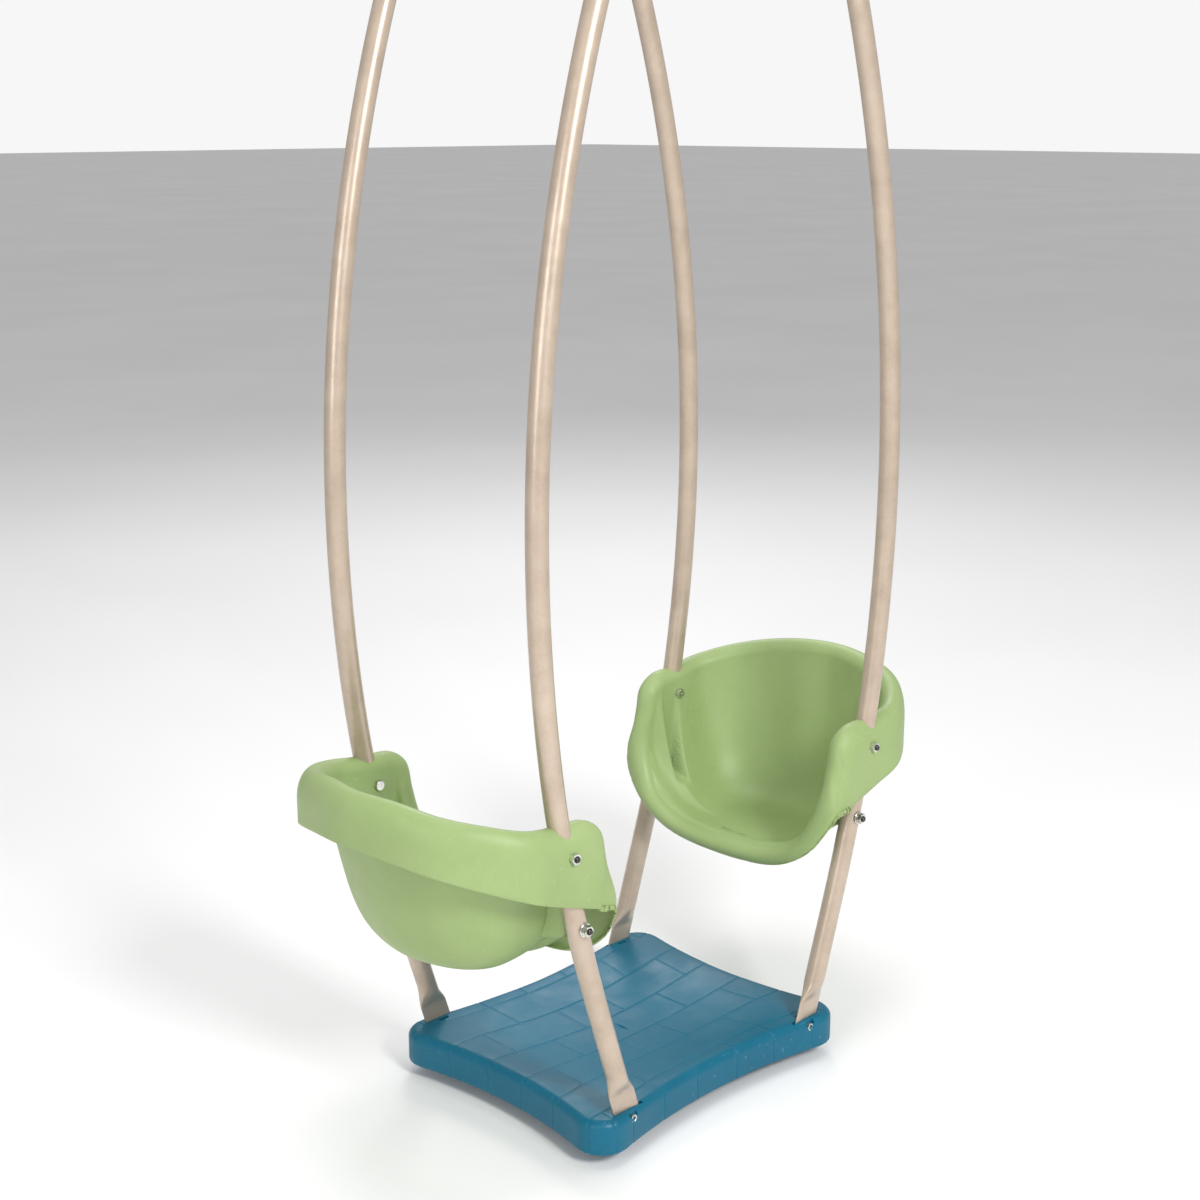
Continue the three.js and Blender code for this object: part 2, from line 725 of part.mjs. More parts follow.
function addHanger(side, tag) {
  const y = side * trackHalf;
  const axisZ = -hangerDrop;
  const stack = sleeveLength / 2 + touch + flatThickness + touch;
  const inner = y - side * stack;
  const outer = y + side * stack;
  const tip = inner - side * (apexScrew.nut + threadProud + touch);
  piece(swing, `apex_bolt_${tag}`, boltY(apexScrew, 0, apexUp, outer, tip), finish.zinc);
  piece(swing, `apex_nut_${tag}`, nutY(apexScrew, 0, apexUp, inner, -side), finish.zinc);
  const sleeve = ringShape(disc(sleeveRadius), apexScrew.shank + boltClearance);
  const half = sleeveLength / 2;
  piece(swing, `pivot_sleeve_${tag}`, plateY(sleeve, 0, apexUp, y - half, y + half), finish.zinc);

  const bore = sleeveRadius + runningGap;
  for (const [way, word] of [
    [side, "outer"],
    [-side, "inner"],
  ]) {
    const eyeFace = y + (way * eyeThickness) / 2;
    const flange = plateY(
      ringShape(disc(bushFlangeRadius), bore),
      0,
      axisZ,
      eyeFace + way * touch,
      eyeFace + way * (touch + bushFlange),
    );
    const barrel = plateY(
      ringShape(disc(bushRadius), bore),
      0,
      axisZ,
      y + way * touch,
      eyeFace + way * (touch + bushFlange / 2),
    );
    piece(hangers, `pivot_bush_${tag}_${word}`, flange.add(barrel), finish.nylon);
  }

  const eye = plateY(disc(eyeRadius), 0, axisZ, y - eyeThickness / 2, y + eyeThickness / 2);
  const eyeBore = rodY(bushRadius + boltClearance, 0, axisZ, y - eyeRadius, y + eyeRadius, 32);
  const upperNutZ = beamThickness + beamWasherThickness + touch;
  const shankTop = upperNutZ + beamNut.nut + shankProud;
  const shank = rodZ(beamNut.shank, 0, y, axisZ + eyeRadius - 4, shankTop, 16);
  piece(hangers, `eye_bolt_${tag}`, eye.add(shank).subtract(eyeBore), finish.zinc);

  const bigWasher = () => ringShape(disc(beamWasherRadius), beamNut.shank + boltClearance);
  const nut = () => ringShape(hexagon(beamNut.flats), beamNut.shank + boltClearance);
  const lowNutTop = -beamWasherThickness - touch;
  const pieces = [
    ["lower_beam_washer", bigWasher(), -beamWasherThickness, 0],
    ["upper_beam_washer", bigWasher(), beamThickness, beamThickness + beamWasherThickness],
    ["lower_beam_nut", nut(), lowNutTop - beamNut.nut, lowNutTop],
    ["upper_beam_nut", nut(), upperNutZ, upperNutZ + beamNut.nut],
  ];
  for (const [name, shape, from, to] of pieces) {
    piece(hangers, `${name}_${tag}`, plateZ(shape, y, from, to), finish.zinc);
  }
}

const ends = [
  [-1, "a"],
  [1, "b"],
];
const sides = [
  [-1, "left"],
  [1, "right"],
];
piece(swing, "foot_plate", makeFootPlate(), finish.plate);
const seat = makeSeat();
for (const [end, endName] of ends) {
  piece(swing, `seat_${endName}`, seat, finish.seat).rotation.z = end > 0 ? 0 : Math.PI;
  for (const [side, sideName] of sides) {
    const tag = `${endName}_${sideName}`;
    piece(swing, `tube_${tag}`, makeTube(end, side), finish.tube);
    addSeatBolts(end, side, tag);
    addPlateBolt(end, side, tag);
  }
}
for (const [side, sideName] of sides) addHanger(side, sideName);

const glider = new THREE.Group();
glider.add(swing, hangers);
export default glider;
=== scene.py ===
"""Face-to-face glider swing: the looks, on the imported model's frame.

Shapes are worked out in millimetres in the swing's own space, where X runs from seat to seat,
Y runs along the beam and heights are above the top of the foot plate's corners.
"""
import json
import math

import bmesh
import bpy
import numpy as np
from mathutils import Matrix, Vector


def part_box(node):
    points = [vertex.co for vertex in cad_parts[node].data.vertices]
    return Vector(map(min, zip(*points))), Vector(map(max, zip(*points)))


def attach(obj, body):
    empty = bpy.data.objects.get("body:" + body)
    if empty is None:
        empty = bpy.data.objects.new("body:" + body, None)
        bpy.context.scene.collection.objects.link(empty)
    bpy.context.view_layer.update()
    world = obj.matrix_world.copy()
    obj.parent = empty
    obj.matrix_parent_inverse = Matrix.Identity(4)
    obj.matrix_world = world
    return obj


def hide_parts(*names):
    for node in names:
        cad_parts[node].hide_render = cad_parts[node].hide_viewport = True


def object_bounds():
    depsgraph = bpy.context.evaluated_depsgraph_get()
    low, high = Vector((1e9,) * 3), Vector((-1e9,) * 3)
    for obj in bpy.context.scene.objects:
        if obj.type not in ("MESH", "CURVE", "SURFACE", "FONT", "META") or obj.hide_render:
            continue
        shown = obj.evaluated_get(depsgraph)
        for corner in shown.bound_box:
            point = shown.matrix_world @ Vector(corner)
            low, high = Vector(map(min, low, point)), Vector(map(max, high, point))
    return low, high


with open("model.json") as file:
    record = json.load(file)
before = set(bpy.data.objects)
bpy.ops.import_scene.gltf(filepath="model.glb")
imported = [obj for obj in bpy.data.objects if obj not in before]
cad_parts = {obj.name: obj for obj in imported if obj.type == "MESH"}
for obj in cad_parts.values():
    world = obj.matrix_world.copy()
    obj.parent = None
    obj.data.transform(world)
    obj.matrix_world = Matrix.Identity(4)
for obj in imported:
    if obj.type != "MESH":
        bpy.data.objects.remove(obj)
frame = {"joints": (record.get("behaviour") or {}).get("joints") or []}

CAD_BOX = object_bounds()
MM = 0.001

# ---------- driving sizes ----------

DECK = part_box("foot_plate")[1].z / MM  # height of the plate's corners in the model's frame
PIVOT = frame["joints"][0]["pos_m"][2] / MM - DECK  # height of the swing's axis above the deck
PLATE_DEPTH = (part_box("foot_plate")[1].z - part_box("foot_plate")[0].z) / MM

TUBE_RADIUS = 14
TRACK = 186  # middle plane to each pair of tubes
FOOT_X = 184.8
LEG_SLOPE = 0.326
LEG_TOP = 167
BOW_RADIUS = 1929
FOOT_DEPTH = 28
FLAT_WIDTH = 43
FLAT_THICKNESS = 3.2
EYE_MARGIN = 21
TAB_END = 12  # length of the rounded end of a tube's top
TUBE_COLUMNS = 40

UPPER_BOLT = 382
LOWER_BOLT = UPPER_BOLT - 101
FOOT_BOLT = -11
SEAT_WALL = 4
PAD_THICKNESS = 6  # of the seat between a tube and a screw's head
RIM = 18.5  # half width of the rolled rim
PAN_DROP = 168
LIP_DROP = 180
GAP = 0.3  # between neighbouring pieces
SLOT_CLEARANCE = 0.6  # between a tube's foot and its slot

M6 = {"shank": 3.0, "flats": 10, "head": 4.0, "nut": 5.0, "pitch": 1.0}
M8 = {"shank": 4.0, "flats": 13, "head": 5.5, "nut": 6.5, "pitch": 1.25}
M10 = {"shank": 5.0, "flats": 16, "head": 6.5, "nut": 8.0, "pitch": 1.5}
M12 = {"shank": 6.0, "flats": 19, "head": 7.5, "nut": 10.0, "pitch": 1.75}

ENDS = {"a": -1, "b": 1}
SIDES = {"left": -1, "right": 1}
CORNERS = [(end, side) for end in ENDS for side in SIDES]


# ---------- small helpers ----------

def smooth(low, high, value):
    t = np.clip((np.asarray(value, dtype=float) - low) / (high - low), 0.0, 1.0)
    return t * t * (3 - 2 * t)


def mix(a, b, share):
    return a + (b - a) * share


def to_frame(points):
    """Swing space in millimetres to the model's frame in metres."""
    return (np.asarray(points, dtype=float) + (0.0, 0.0, DECK)) * MM


def make_mesh(name, points, faces, smooth_angle=40):
    mesh = bpy.data.meshes.new(name)
    mesh.from_pydata([tuple(p) for p in points], [], faces)
    mesh.validate()
    shade(mesh, smooth_angle)
    return mesh


def shade(mesh, smooth_angle):
    """Smooth shading, with edges kept sharp where faces meet at more than the angle."""
    bm = bmesh.new()
    bm.from_mesh(mesh)
    bmesh.ops.remove_doubles(bm, verts=bm.verts, dist=1e-6)
    bmesh.ops.recalc_face_normals(bm, faces=bm.faces)
    limit = math.radians(smooth_angle)
    for face in bm.faces:
        face.smooth = True
    for edge in bm.edges:
        edge.smooth = len(edge.link_faces) != 2 or edge.calc_face_angle(0) < limit
    bm.to_mesh(mesh)
    bm.free()
    mesh.update()


def add_piece(mesh, name, material, body, nodes):
    """A finished mesh becomes a piece that stands for CAD nodes and rides on their body."""
    mesh.materials.clear()
    mesh.materials.append(material)
    piece = bpy.data.objects.new(name, mesh)
    bpy.context.collection.objects.link(piece)
    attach(piece, body)
    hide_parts(*nodes)
    return piece


def ring_faces(rings, columns, closed=True, start=0):
    """Quads between rings of points numbered one after another."""
    faces = []
    last = rings if closed else rings - 1
    for r in range(last):
        for c in range(columns):
            a = start + r * columns + c
            b = start + r * columns + (c + 1) % columns
            up = start + ((r + 1) % rings) * columns
            faces.append((a, b, up + (c + 1) % columns, up + c))
    return faces


def cap(points, faces, ring):
    """Closes a ring of points with a fan at its middle."""
    points.append(np.mean([points[i] for i in ring], axis=0))
    middle = len(points) - 1
    for k, a in enumerate(ring):
        faces.append((a, ring[(k + 1) % len(ring)], middle))


# ---------- materials ----------

class Nodes:
    """A short way to write a material's node tree."""

    def __init__(self, name):
        self.material = bpy.data.materials.new(name)
        self.material.use_nodes = True
        self.tree = self.material.node_tree
        self.tree.nodes.clear()
        self.out = self.tree.nodes.new("ShaderNodeOutputMaterial")
        self.shader = self.tree.nodes.new("ShaderNodeBsdfPrincipled")
        self.link(self.shader.outputs[0], self.out.inputs["Surface"])
        self.place = self.tree.nodes.new("ShaderNodeTexCoord").outputs["Object"]

    def link(self, source, target):
        self.tree.links.new(source, target)

    def set(self, **values):
        for key, value in values.items():
            self.shader.inputs[key.replace("_", " ")].default_value = value

    def stretched(self, scale):
        node = self.tree.nodes.new("ShaderNodeMapping")
        node.inputs["Scale"].default_value = scale
        self.link(self.place, node.inputs["Vector"])
        return node.outputs[0]

    def noise(self, scale, detail=3.0, rough=0.55, place=None):
        node = self.tree.nodes.new("ShaderNodeTexNoise")
        node.inputs["Scale"].default_value = scale
        node.inputs["Detail"].default_value = detail
        node.inputs["Roughness"].default_value = rough
        self.link(place or self.place, node.inputs["Vector"])
        return node.outputs["Fac"]

    def attribute(self, name):
        node = self.tree.nodes.new("ShaderNodeAttribute")
        node.attribute_name = name
        return node.outputs["Fac"]

    def cells(self, scale):
        node = self.tree.nodes.new("ShaderNodeTexVoronoi")
        node.inputs["Scale"].default_value = scale
        self.link(self.place, node.inputs["Vector"])
        return node.outputs["Distance"]

    def ramp(self, source, *stops):
        node = self.tree.nodes.new("ShaderNodeValToRGB")
        ramp = node.color_ramp
        while len(ramp.elements) < len(stops):
            ramp.elements.new(0.5)
        for element, (at, colour) in zip(ramp.elements, stops):
            element.position = at
            element.color = (*colour, 1.0) if not isinstance(colour, float) else (colour,) * 3 + (1.0,)
        self.link(source, node.inputs[0])
        return node.outputs[0]

    def span(self, source, low, high, to_low, to_high):
        node = self.tree.nodes.new("ShaderNodeMapRange")
        for key, value in zip(("From Min", "From Max", "To Min", "To Max"), (low, high, to_low, to_high)):
            node.inputs[key].default_value = value
        self.link(source, node.inputs["Value"])
        return node.outputs[0]

    def blend(self, factor, a, b, kind="MIX"):
        node = self.tree.nodes.new("ShaderNodeMix")
        node.data_type = "RGBA"
        node.blend_type = kind
        for socket, value in ((node.inputs[0], factor), (node.inputs[6], a), (node.inputs[7], b)):
            if isinstance(value, bpy.types.NodeSocket):
                self.link(value, socket)
            elif socket.type == "VALUE":
                socket.default_value = value
            else:
                socket.default_value = (*value, 1.0)
        return node.outputs[2]

    def add(self, a, b, kind="ADD"):
        node = self.tree.nodes.new("ShaderNodeMath")
        node.operation = kind
        for socket, value in zip(node.inputs, (a, b)):
            if isinstance(value, bpy.types.NodeSocket):
                self.link(value, socket)
            else:
                socket.default_value = value
        return node.outputs[0]

    def bump(self, height, strength, distance, under=None):
        node = self.tree.nodes.new("ShaderNodeBump")
        node.inputs["Strength"].default_value = strength
        node.inputs["Distance"].default_value = distance
        self.link(height, node.inputs["Height"])
        if under is not None:
            self.link(under, node.inputs["Normal"])
        return node.outputs[0]

    def finish(self, colour=None, roughness=None, normal=None):
        for key, source in (("Base Color", colour), ("Roughness", roughness), ("Normal", normal)):
            if source is not None:
                self.link(source, self.shader.inputs[key])
        return self.material


def moulded_plastic(name, dark, main, light, roughness, sheen):
    """Blow-moulded plastic: soft mottling, a pebbled skin, faint flow waves and fine scuffs."""
    n = Nodes(name)
    n.set(Specular_IOR_Level=sheen, IOR=1.5, Subsurface_Weight=0.06, Subsurface_Scale=0.004)
    n.shader.inputs["Subsurface Radius"].default_value = (1.0, 1.0, 0.6)
    broad = n.ramp(n.noise(7.0, 4.0), (0.3, dark), (0.52, main), (0.78, light))
    cloud = n.ramp(n.noise(42.0, 5.0, 0.6), (0.35, main), (0.7, light))
    tone = n.blend(0.3, broad, cloud)
    scratches = n.noise(90.0, 2.0, 0.5, n.stretched((1.0, 9.0, 1.6)))
    worn = n.span(scratches, 0.66, 0.74, 0.0, 0.28)
    colour = n.blend(worn, tone, tuple(mix(np.array(light), 1.0, 0.25)))
    rough = n.add(n.span(n.noise(28.0, 4.0), 0.3, 0.7, roughness - 0.06, roughness + 0.08), worn)
    waves = n.bump(n.noise(16.0, 2.0), 0.25, 0.0012)
    pebbles = n.bump(n.cells(620.0), 0.16, 0.0004, waves)
    grain = n.bump(n.noise(1500.0, 2.0), 0.12, 0.0002, pebbles)
    return n.finish(colour, rough, grain)


def powder_coat():
    """Satin powder coat on steel: a fine orange peel, warm beige, with rubbed lighter patches."""
    n = Nodes("beige_powder_coat")
    n.set(Metallic=0.35, Specular_IOR_Level=0.6, Coat_Weight=0.5, Coat_Roughness=0.18)
    tone = n.ramp(
        n.noise(24.0, 5.0, 0.6),
        (0.25, (0.42, 0.325, 0.25)),
        (0.55, (0.5, 0.4, 0.31)),
        (0.85, (0.57, 0.465, 0.37)),
    )
    specks = n.span(n.noise(900.0, 1.0), 0.62, 0.7, 0.0, 0.35)
    colour = n.blend(specks, tone, (0.68, 0.58, 0.48))
    rough = n.span(n.noise(60.0, 3.0), 0.3, 0.7, 0.3, 0.42)
    peel = n.bump(n.noise(520.0, 2.0), 0.2, 0.0003)
    return n.finish(colour, rough, n.bump(n.noise(35.0, 2.0), 0.12, 0.0006, peel))


def zinc_plate(name, dark, light, roughness):
    """Zinc-plated steel: bright, faintly warm and cool by turns, with rolled lines across it.

    Threads, which carry the attribute "thread", are coloured dark."""
    n = Nodes(name)
    n.set(Metallic=1.0, Anisotropic=0.2)
    tone = n.ramp(n.noise(160.0, 4.0), (0.3, dark), (0.5, light), (0.72, (0.86, 0.84, 0.76)))
    dull = n.span(n.noise(420.0, 5.0, 0.65), 0.52, 0.72, 0.0, 0.55)
    colour = n.blend(dull, tone, tuple(0.6 * c for c in dark))
    colour = n.blend(n.attribute("thread"), colour, (0.075, 0.072, 0.07))
    lines = n.noise(900.0, 2.0, 0.5, n.stretched((1.0, 0.12, 1.0)))
    rough = n.add(n.span(lines, 0.3, 0.7, roughness, roughness + 0.14), n.add(dull, 0.25, "MULTIPLY"))
    return n.finish(colour, rough, n.bump(lines, 0.15, 0.0002))


def black_nylon():
    n = Nodes("black_nylon")
    n.set(Specular_IOR_Level=0.45)
    tone = n.ramp(n.noise(300.0, 4.0), (0.35, (0.014, 0.014, 0.016)), (0.7, (0.035, 0.035, 0.038)))
    rough = n.span(n.noise(500.0, 3.0), 0.3, 0.7, 0.42, 0.6)
    return n.finish(tone, rough, n.bump(n.noise(1400.0, 2.0), 0.25, 0.0002))


def studio_floor():
    n = Nodes("studio_floor")
    tone = n.ramp(n.noise(0.8, 2.0), (0.3, (0.86, 0.86, 0.86)), (0.7, (0.9, 0.9, 0.9)))
    rough = n.span(n.noise(3.0, 2.0), 0.3, 0.7, 0.7, 0.8)
    return n.finish(tone, rough)


SEAT_PLASTIC = moulded_plastic(
    "seat_plastic", (0.25, 0.345, 0.13), (0.29, 0.39, 0.155), (0.33, 0.43, 0.19), 0.46, 0.36
)
PLATE_PLASTIC = moulded_plastic(
    "plate_plastic", (0.0012, 0.1, 0.17), (0.0015, 0.118, 0.198), (0.003, 0.135, 0.22), 0.4, 0.3
)
TUBE_PAINT = powder_coat()
ZINC = zinc_plate("zinc_plate", (0.5, 0.5, 0.5), (0.72, 0.72, 0.7), 0.2)
NYLON = black_nylon()


# ---------- tubes ----------

LEG_LEAN = math.atan(LEG_SLOPE)
BOW_X = FOOT_X + LEG_SLOPE * LEG_TOP - BOW_RADIUS * math.cos(LEG_LEAN)
BOW_UP = LEG_TOP + BOW_RADIUS * math.sin(LEG_LEAN)
APEX_ANGLE = math.acos(-BOW_X / BOW_RADIUS)
LEG_LENGTH = (LEG_TOP + FOOT_DEPTH) / math.cos(LEG_LEAN)
BOW_LENGTH = BOW_RADIUS * (APEX_ANGLE + LEG_LEAN)
TUBE_END = LEG_LENGTH + BOW_LENGTH + EYE_MARGIN


def tube_axis(distance):
    """Where the tube's middle line is, and how it leans, at a distance from its foot."""
    if distance < LEG_LENGTH:
        up = distance * math.cos(LEG_LEAN) - FOOT_DEPTH
        return FOOT_X + LEG_SLOPE * up, up, -LEG_LEAN
    angle = (distance - LEG_LENGTH) / BOW_RADIUS - LEG_LEAN
    return BOW_X + BOW_RADIUS * math.cos(angle), BOW_UP + BOW_RADIUS * math.sin(angle), angle


def tube_x(up):
    if up < LEG_TOP:
        return FOOT_X + LEG_SLOPE * up
    return BOW_X + math.sqrt(BOW_RADIUS**2 - (up - BOW_UP) ** 2)


def press_share(distance, across):
    """0 where the tube is round and 1 where it is pressed flat. The die's edge runs askew."""
    foot_end = (8 + FOOT_DEPTH) / math.cos(LEG_LEAN) + 16
    top_start = LEG_LENGTH + BOW_LENGTH - 30
    skew = 7 * across
    if distance < LEG_LENGTH:
        t = (distance - foot_end - skew) / 30
    else:
        t = (top_start - distance + skew) / 30
    t = min(max(t, 0.0), 1.0)
    kink = 1 - t
    return mix(kink, float(smooth(0, 1, kink)), 0.55)


def tube_section(distance, end, side):
    x, up, angle = tube_axis(distance)
    top_offset = 9.5 if distance > LEG_LENGTH else 0.0
    ring = []
    for k in range(TUBE_COLUMNS):
        turn = (k + 0.5) / TUBE_COLUMNS * 2 * math.pi
        c, s = math.cos(turn), math.sin(turn)
        press = press_share(distance, c)
        wide = mix(TUBE_RADIUS, FLAT_WIDTH / 2, press)
        thick = mix(TUBE_RADIUS, FLAT_THICKNESS / 2, press)
        square = mix(1.0, 0.42, press)
        across = wide * math.copysign(abs(c) ** mix(1.0, 0.85, press), c)
        y = thick * math.copysign(abs(s) ** square, s)
        # the middle of the pressed part is dimpled where its two walls meet
        y -= math.copysign(0.5 * press * math.exp(-(across / 9) ** 2), s)
        shift = press * top_offset * end * side
        ring.append(
            (end * (x + across * math.cos(angle)), side * TRACK + shift + y, up + across * math.sin(angle))
        )
    return ring


def make_tube(end_name, side_name):
    end, side = ENDS[end_name], SIDES[side_name]
    foot_end = (8 + FOOT_DEPTH) / math.cos(LEG_LEAN)
    top = LEG_LENGTH + BOW_LENGTH
    distances = [0, 1.2]
    distances += list(np.linspace(6, foot_end, 6))
    distances += list(np.linspace(foot_end + 3, foot_end + 70, 34))
    distances += list(np.linspace(foot_end + 84, top - 90, 96))
    distances += list(np.linspace(top - 80, top - 15, 34))
    distances += list(np.linspace(top - 10, TUBE_END - TAB_END, 4))
    points = []
    for distance in distances:
        points += tube_section(distance, end, side)
    rows = len(distances)
    # the top end is rounded off in a half circle, as a tab with an eye is
    for lift in np.linspace(0.25, 1.0, 8):
        ring = tube_section(TUBE_END - TAB_END + TAB_END * lift, end, side)
        middle = np.mean(ring, axis=0)
        keep = math.sqrt(max(1 - (0.92 * lift) ** 2, 0.0)) ** 0.6
        points += [tuple(mix(middle, np.array(p), keep)) for p in ring]
        rows += 1
    points = [np.array(p) for p in points]
    faces = ring_faces(rows, TUBE_COLUMNS, closed=False)
    cap(points, faces, list(range(TUBE_COLUMNS)))
    cap(points, faces, list(range((rows - 1) * TUBE_COLUMNS, rows * TUBE_COLUMNS)))
    mesh = make_mesh("tube", to_frame(points), faces, 50)
    name = f"tube_{end_name}_{side_name}"
    return add_piece(mesh, f"painted_{name}", TUBE_PAINT, "swing", [name])


# ---------- seats ----------

# Seat space: behind the upper bolt, share of the half track, above the upper bolt.
RIM_LINE = [
    (171, 0, 78), (160, 0.323, 76), (140, 0.645, 66.5), (105, 0.86, 56.5), (60, 1, 45), (8, 1, 37.5),
    (-36, 1, 34), (-60, 1, 17), (-70, 1, -22), (-82, 1, -64), (-90, 0.94, -105), (-96, 0.8, -143),
    (-98, 0.52, -170), (-98, 0, -LIP_DROP),
]
# The free edge: the last value is how far it stands outside the rim line.
EDGE_LINE = [
    (188, 0, 12, 0), (180, 0.34, 9, 0), (159, 0.67, -1, 3), (112, 0.885, -21, 12), (62, 1, -41, RIM),
    (14, 1, -59, RIM), (-22, 1, -71, RIM), (-40, 1, -77, RIM), (-56, 1, -82, RIM - 1),
    (-73, 1, -87, RIM - 3), (-83, 0.95, -108, RIM - 4), (-88, 0.81, -146, 12), (-90, 0.54, -178, 8),
    (-90, 0, -190, 0),
]
PAN_MIDDLE = np.array((4.0, 0.0, -PAN_DROP))
PAN_REAR = 50
PAN_FRONT = 62
PAN_WIDTH = 67
LIP_RISE = 11
CREST_DROP = 36
CHEEK_PULL = 12
WALL_DRAFT = 0.12
NARROW_SKIRT = 40  # a skirt narrower than this has a thinner wall at its edge
THINNEST = 0.4  # share of the wall left where the skirt is narrowest
SEAT_COLUMNS = 384
PAN_ROWS = 11
WALL_ROWS = 41
TURN_ROWS = 12  # from the wall's top over to the rim line
RIM_ROW = PAN_ROWS + WALL_ROWS + TURN_ROWS - 1  # the row that runs along the rim line


def unit(v):
    length = np.linalg.norm(v, axis=-1, keepdims=True)
    return v / np.maximum(length, 1e-12)


def dot(a, b):
    return np.sum(a * b, axis=-1, keepdims=True)


def loop_points(line, columns):
    """Points at even steps of a closed centripetal curve through a line and its mirror image."""
    half = [np.array((p[0], p[1] * TRACK + (p[3] if len(p) > 3 else 0.0), p[2])) for p in line]
    mirrored = [p * (1, -1, 1) for p in half[-2:0:-1]]
    knots = np.array(half + mirrored)
    count = len(knots)
    made = []
    for k in range(columns):
        at = k / columns * count
        i = int(at)
        w = at - i
        p = [knots[(i + j) % count] for j in (-1, 0, 1, 2)]
        gap = [max(np.linalg.norm(p[j + 1] - p[j]) ** 0.5, 1e-4) for j in range(3)]
        slope = [
            ((p[j] - p[j - 1]) / gap[j - 1] - (p[j + 1] - p[j - 1]) / (gap[j - 1] + gap[j])
             + (p[j + 1] - p[j]) / gap[j]) * gap[1]
            for j in (1, 2)
        ]
        a, b = p[1], p[2]
        made.append(
            a + slope[0] * w
            + (-3 * a + 3 * b - 2 * slope[0] - slope[1]) * w * w
            + (2 * a - 2 * b + slope[0] + slope[1]) * w**3
        )
    return np.array(made)


def evened(rows, spreads):
    """Each closed row of points smoothed along itself, by its own spread in columns."""
    waves = np.fft.fftfreq(rows.shape[1])
    shown = np.fft.fft(rows, axis=1)
    fade = np.exp(-0.5 * (2 * math.pi * np.outer(spreads, waves)) ** 2)
    return np.real(np.fft.ifft(shown * fade[:, :, None], axis=1))


def seat_skin():
    """Rows of points over the seat's upper skin, from the pan up the wall, over the rim and
    down the skirt to its free edge. Each row runs once round the seat."""
    rim = loop_points(RIM_LINE, SEAT_COLUMNS)
    edge = loop_points(EDGE_LINE, SEAT_COLUMNS)
    along = unit(np.roll(rim, -1, axis=0) - np.roll(rim, 1, axis=0))
    share = np.arange(SEAT_COLUMNS) / SEAT_COLUMNS
    half = np.minimum(share, 1 - share)
    front = (half >= 6.5 / (2 * (len(RIM_LINE) - 1)))[:, None]
    out = unit(np.where(front, np.cross((1.0, 0, 0), along), np.cross(along, (0, 0, 1.0))))
    into = unit(np.cross(along, out))

    lip = smooth(105, LIP_DROP, -rim[:, 2])[:, None]
    rise = mix(RIM, LIP_RISE, lip)
    shoulder = rim - out * rise + into * RIM
    theta = np.arctan2(rim[:, 1], rim[:, 0] - PAN_MIDDLE[0])
    pan_length = np.where(rim[:, 0] > PAN_MIDDLE[0], PAN_REAR, PAN_FRONT)
    base = PAN_MIDDLE + np.stack(
        [pan_length * np.cos(theta), PAN_WIDTH * np.sin(theta), 0 * theta], axis=1
    )
    fore = (1 - np.cos(theta))[:, None] / 2
    reach = np.linalg.norm(shoulder - base, axis=1, keepdims=True)
    level = (shoulder - base) * (1, 1, 0)
    width = np.linalg.norm(level, axis=1, keepdims=True)
    down = np.array((0, 0, -1.0)) - out * dot(np.array((0, 0, -1.0)), out)
    drop = mix(0.79, 0.49, fore) * reach
    steep = np.linalg.norm(down, axis=1, keepdims=True)
    low_handle = base + unit(level) * np.minimum(mix(0.36, 0.11, fore) * reach, 0.6 * width)
    high_handle = (
        shoulder + down * drop + into * CHEEK_PULL * np.maximum(into[:, :1], 0)
        - out * WALL_DRAFT * drop * steep
    )

    rows, spreads = [], []
    for s in np.linspace(0, 1, PAN_ROWS + 2)[1:-1]:
        rows.append(mix(PAN_MIDDLE, base, s))
        spreads.append(2.0)
    for s in np.linspace(0, 1, WALL_ROWS):
        wall = (
            (1 - s) ** 3 * base + 3 * s * (1 - s) ** 2 * low_handle
            + 3 * s * s * (1 - s) * high_handle + s**3 * shoulder
        )
        rows.append(wall)
        midway = float(smooth(0, 0.3, s) * (1 - smooth(0.72, 0.98, s)))
        near_rim = float(smooth(0.8, 1, s))
        spreads.append(2.0 + 6.5 * midway - 2.0 * near_rim)
    for turn in np.linspace(0, math.pi / 2, TURN_ROWS + 1)[1:]:
        rows.append(rim - out * rise * math.cos(turn) + into * RIM * (1 - math.sin(turn)))
        spreads.append(0.0)

    to_edge = edge - rim
    edge_out, edge_in = dot(to_edge, out), dot(to_edge, into)
    turn_in = np.minimum(CREST_DROP, edge_in)
    slide = dot(to_edge, along) * turn_in / np.where(np.abs(edge_in) < 1e-6, 1, edge_in)
    for turn in np.linspace(0, math.pi / 2, 15)[1:]:
        s, c = math.sin(turn), 1 - math.cos(turn)
        rows.append(rim + out * edge_out * s + into * turn_in * c + along * slide * c)
        spreads.append(0.0)
    end_of_turn = rim + out * edge_out + into * turn_in + along * slide
    for s in np.linspace(0, 1, 11)[1:]:
        rows.append(mix(end_of_turn, edge, s))
        spreads.append(0.0)
    return evened(np.array(rows), np.array(spreads))


def channelled(rows):
    """The cheek pushed out to the tube in an upright channel, creased before and behind."""
    x, y, z = rows[..., 0], rows[..., 1], rows[..., 2]
    inside = np.arange(rows.shape[0])[:, None] < PAN_ROWS + WALL_ROWS
    rear = -5 + (z + 16) * 0.125
    over = smooth(-39, -31, x) * (1 - smooth(-2.0, 2.5, x - rear))
    height = smooth(-131, -114, z)
    reach = TRACK - RIM
    out = np.where(inside, over * height, 0) * np.maximum(reach - np.abs(y), 0)
    moved = rows.copy()
    moved[..., 1] = y + np.sign(y) * out
    return moved


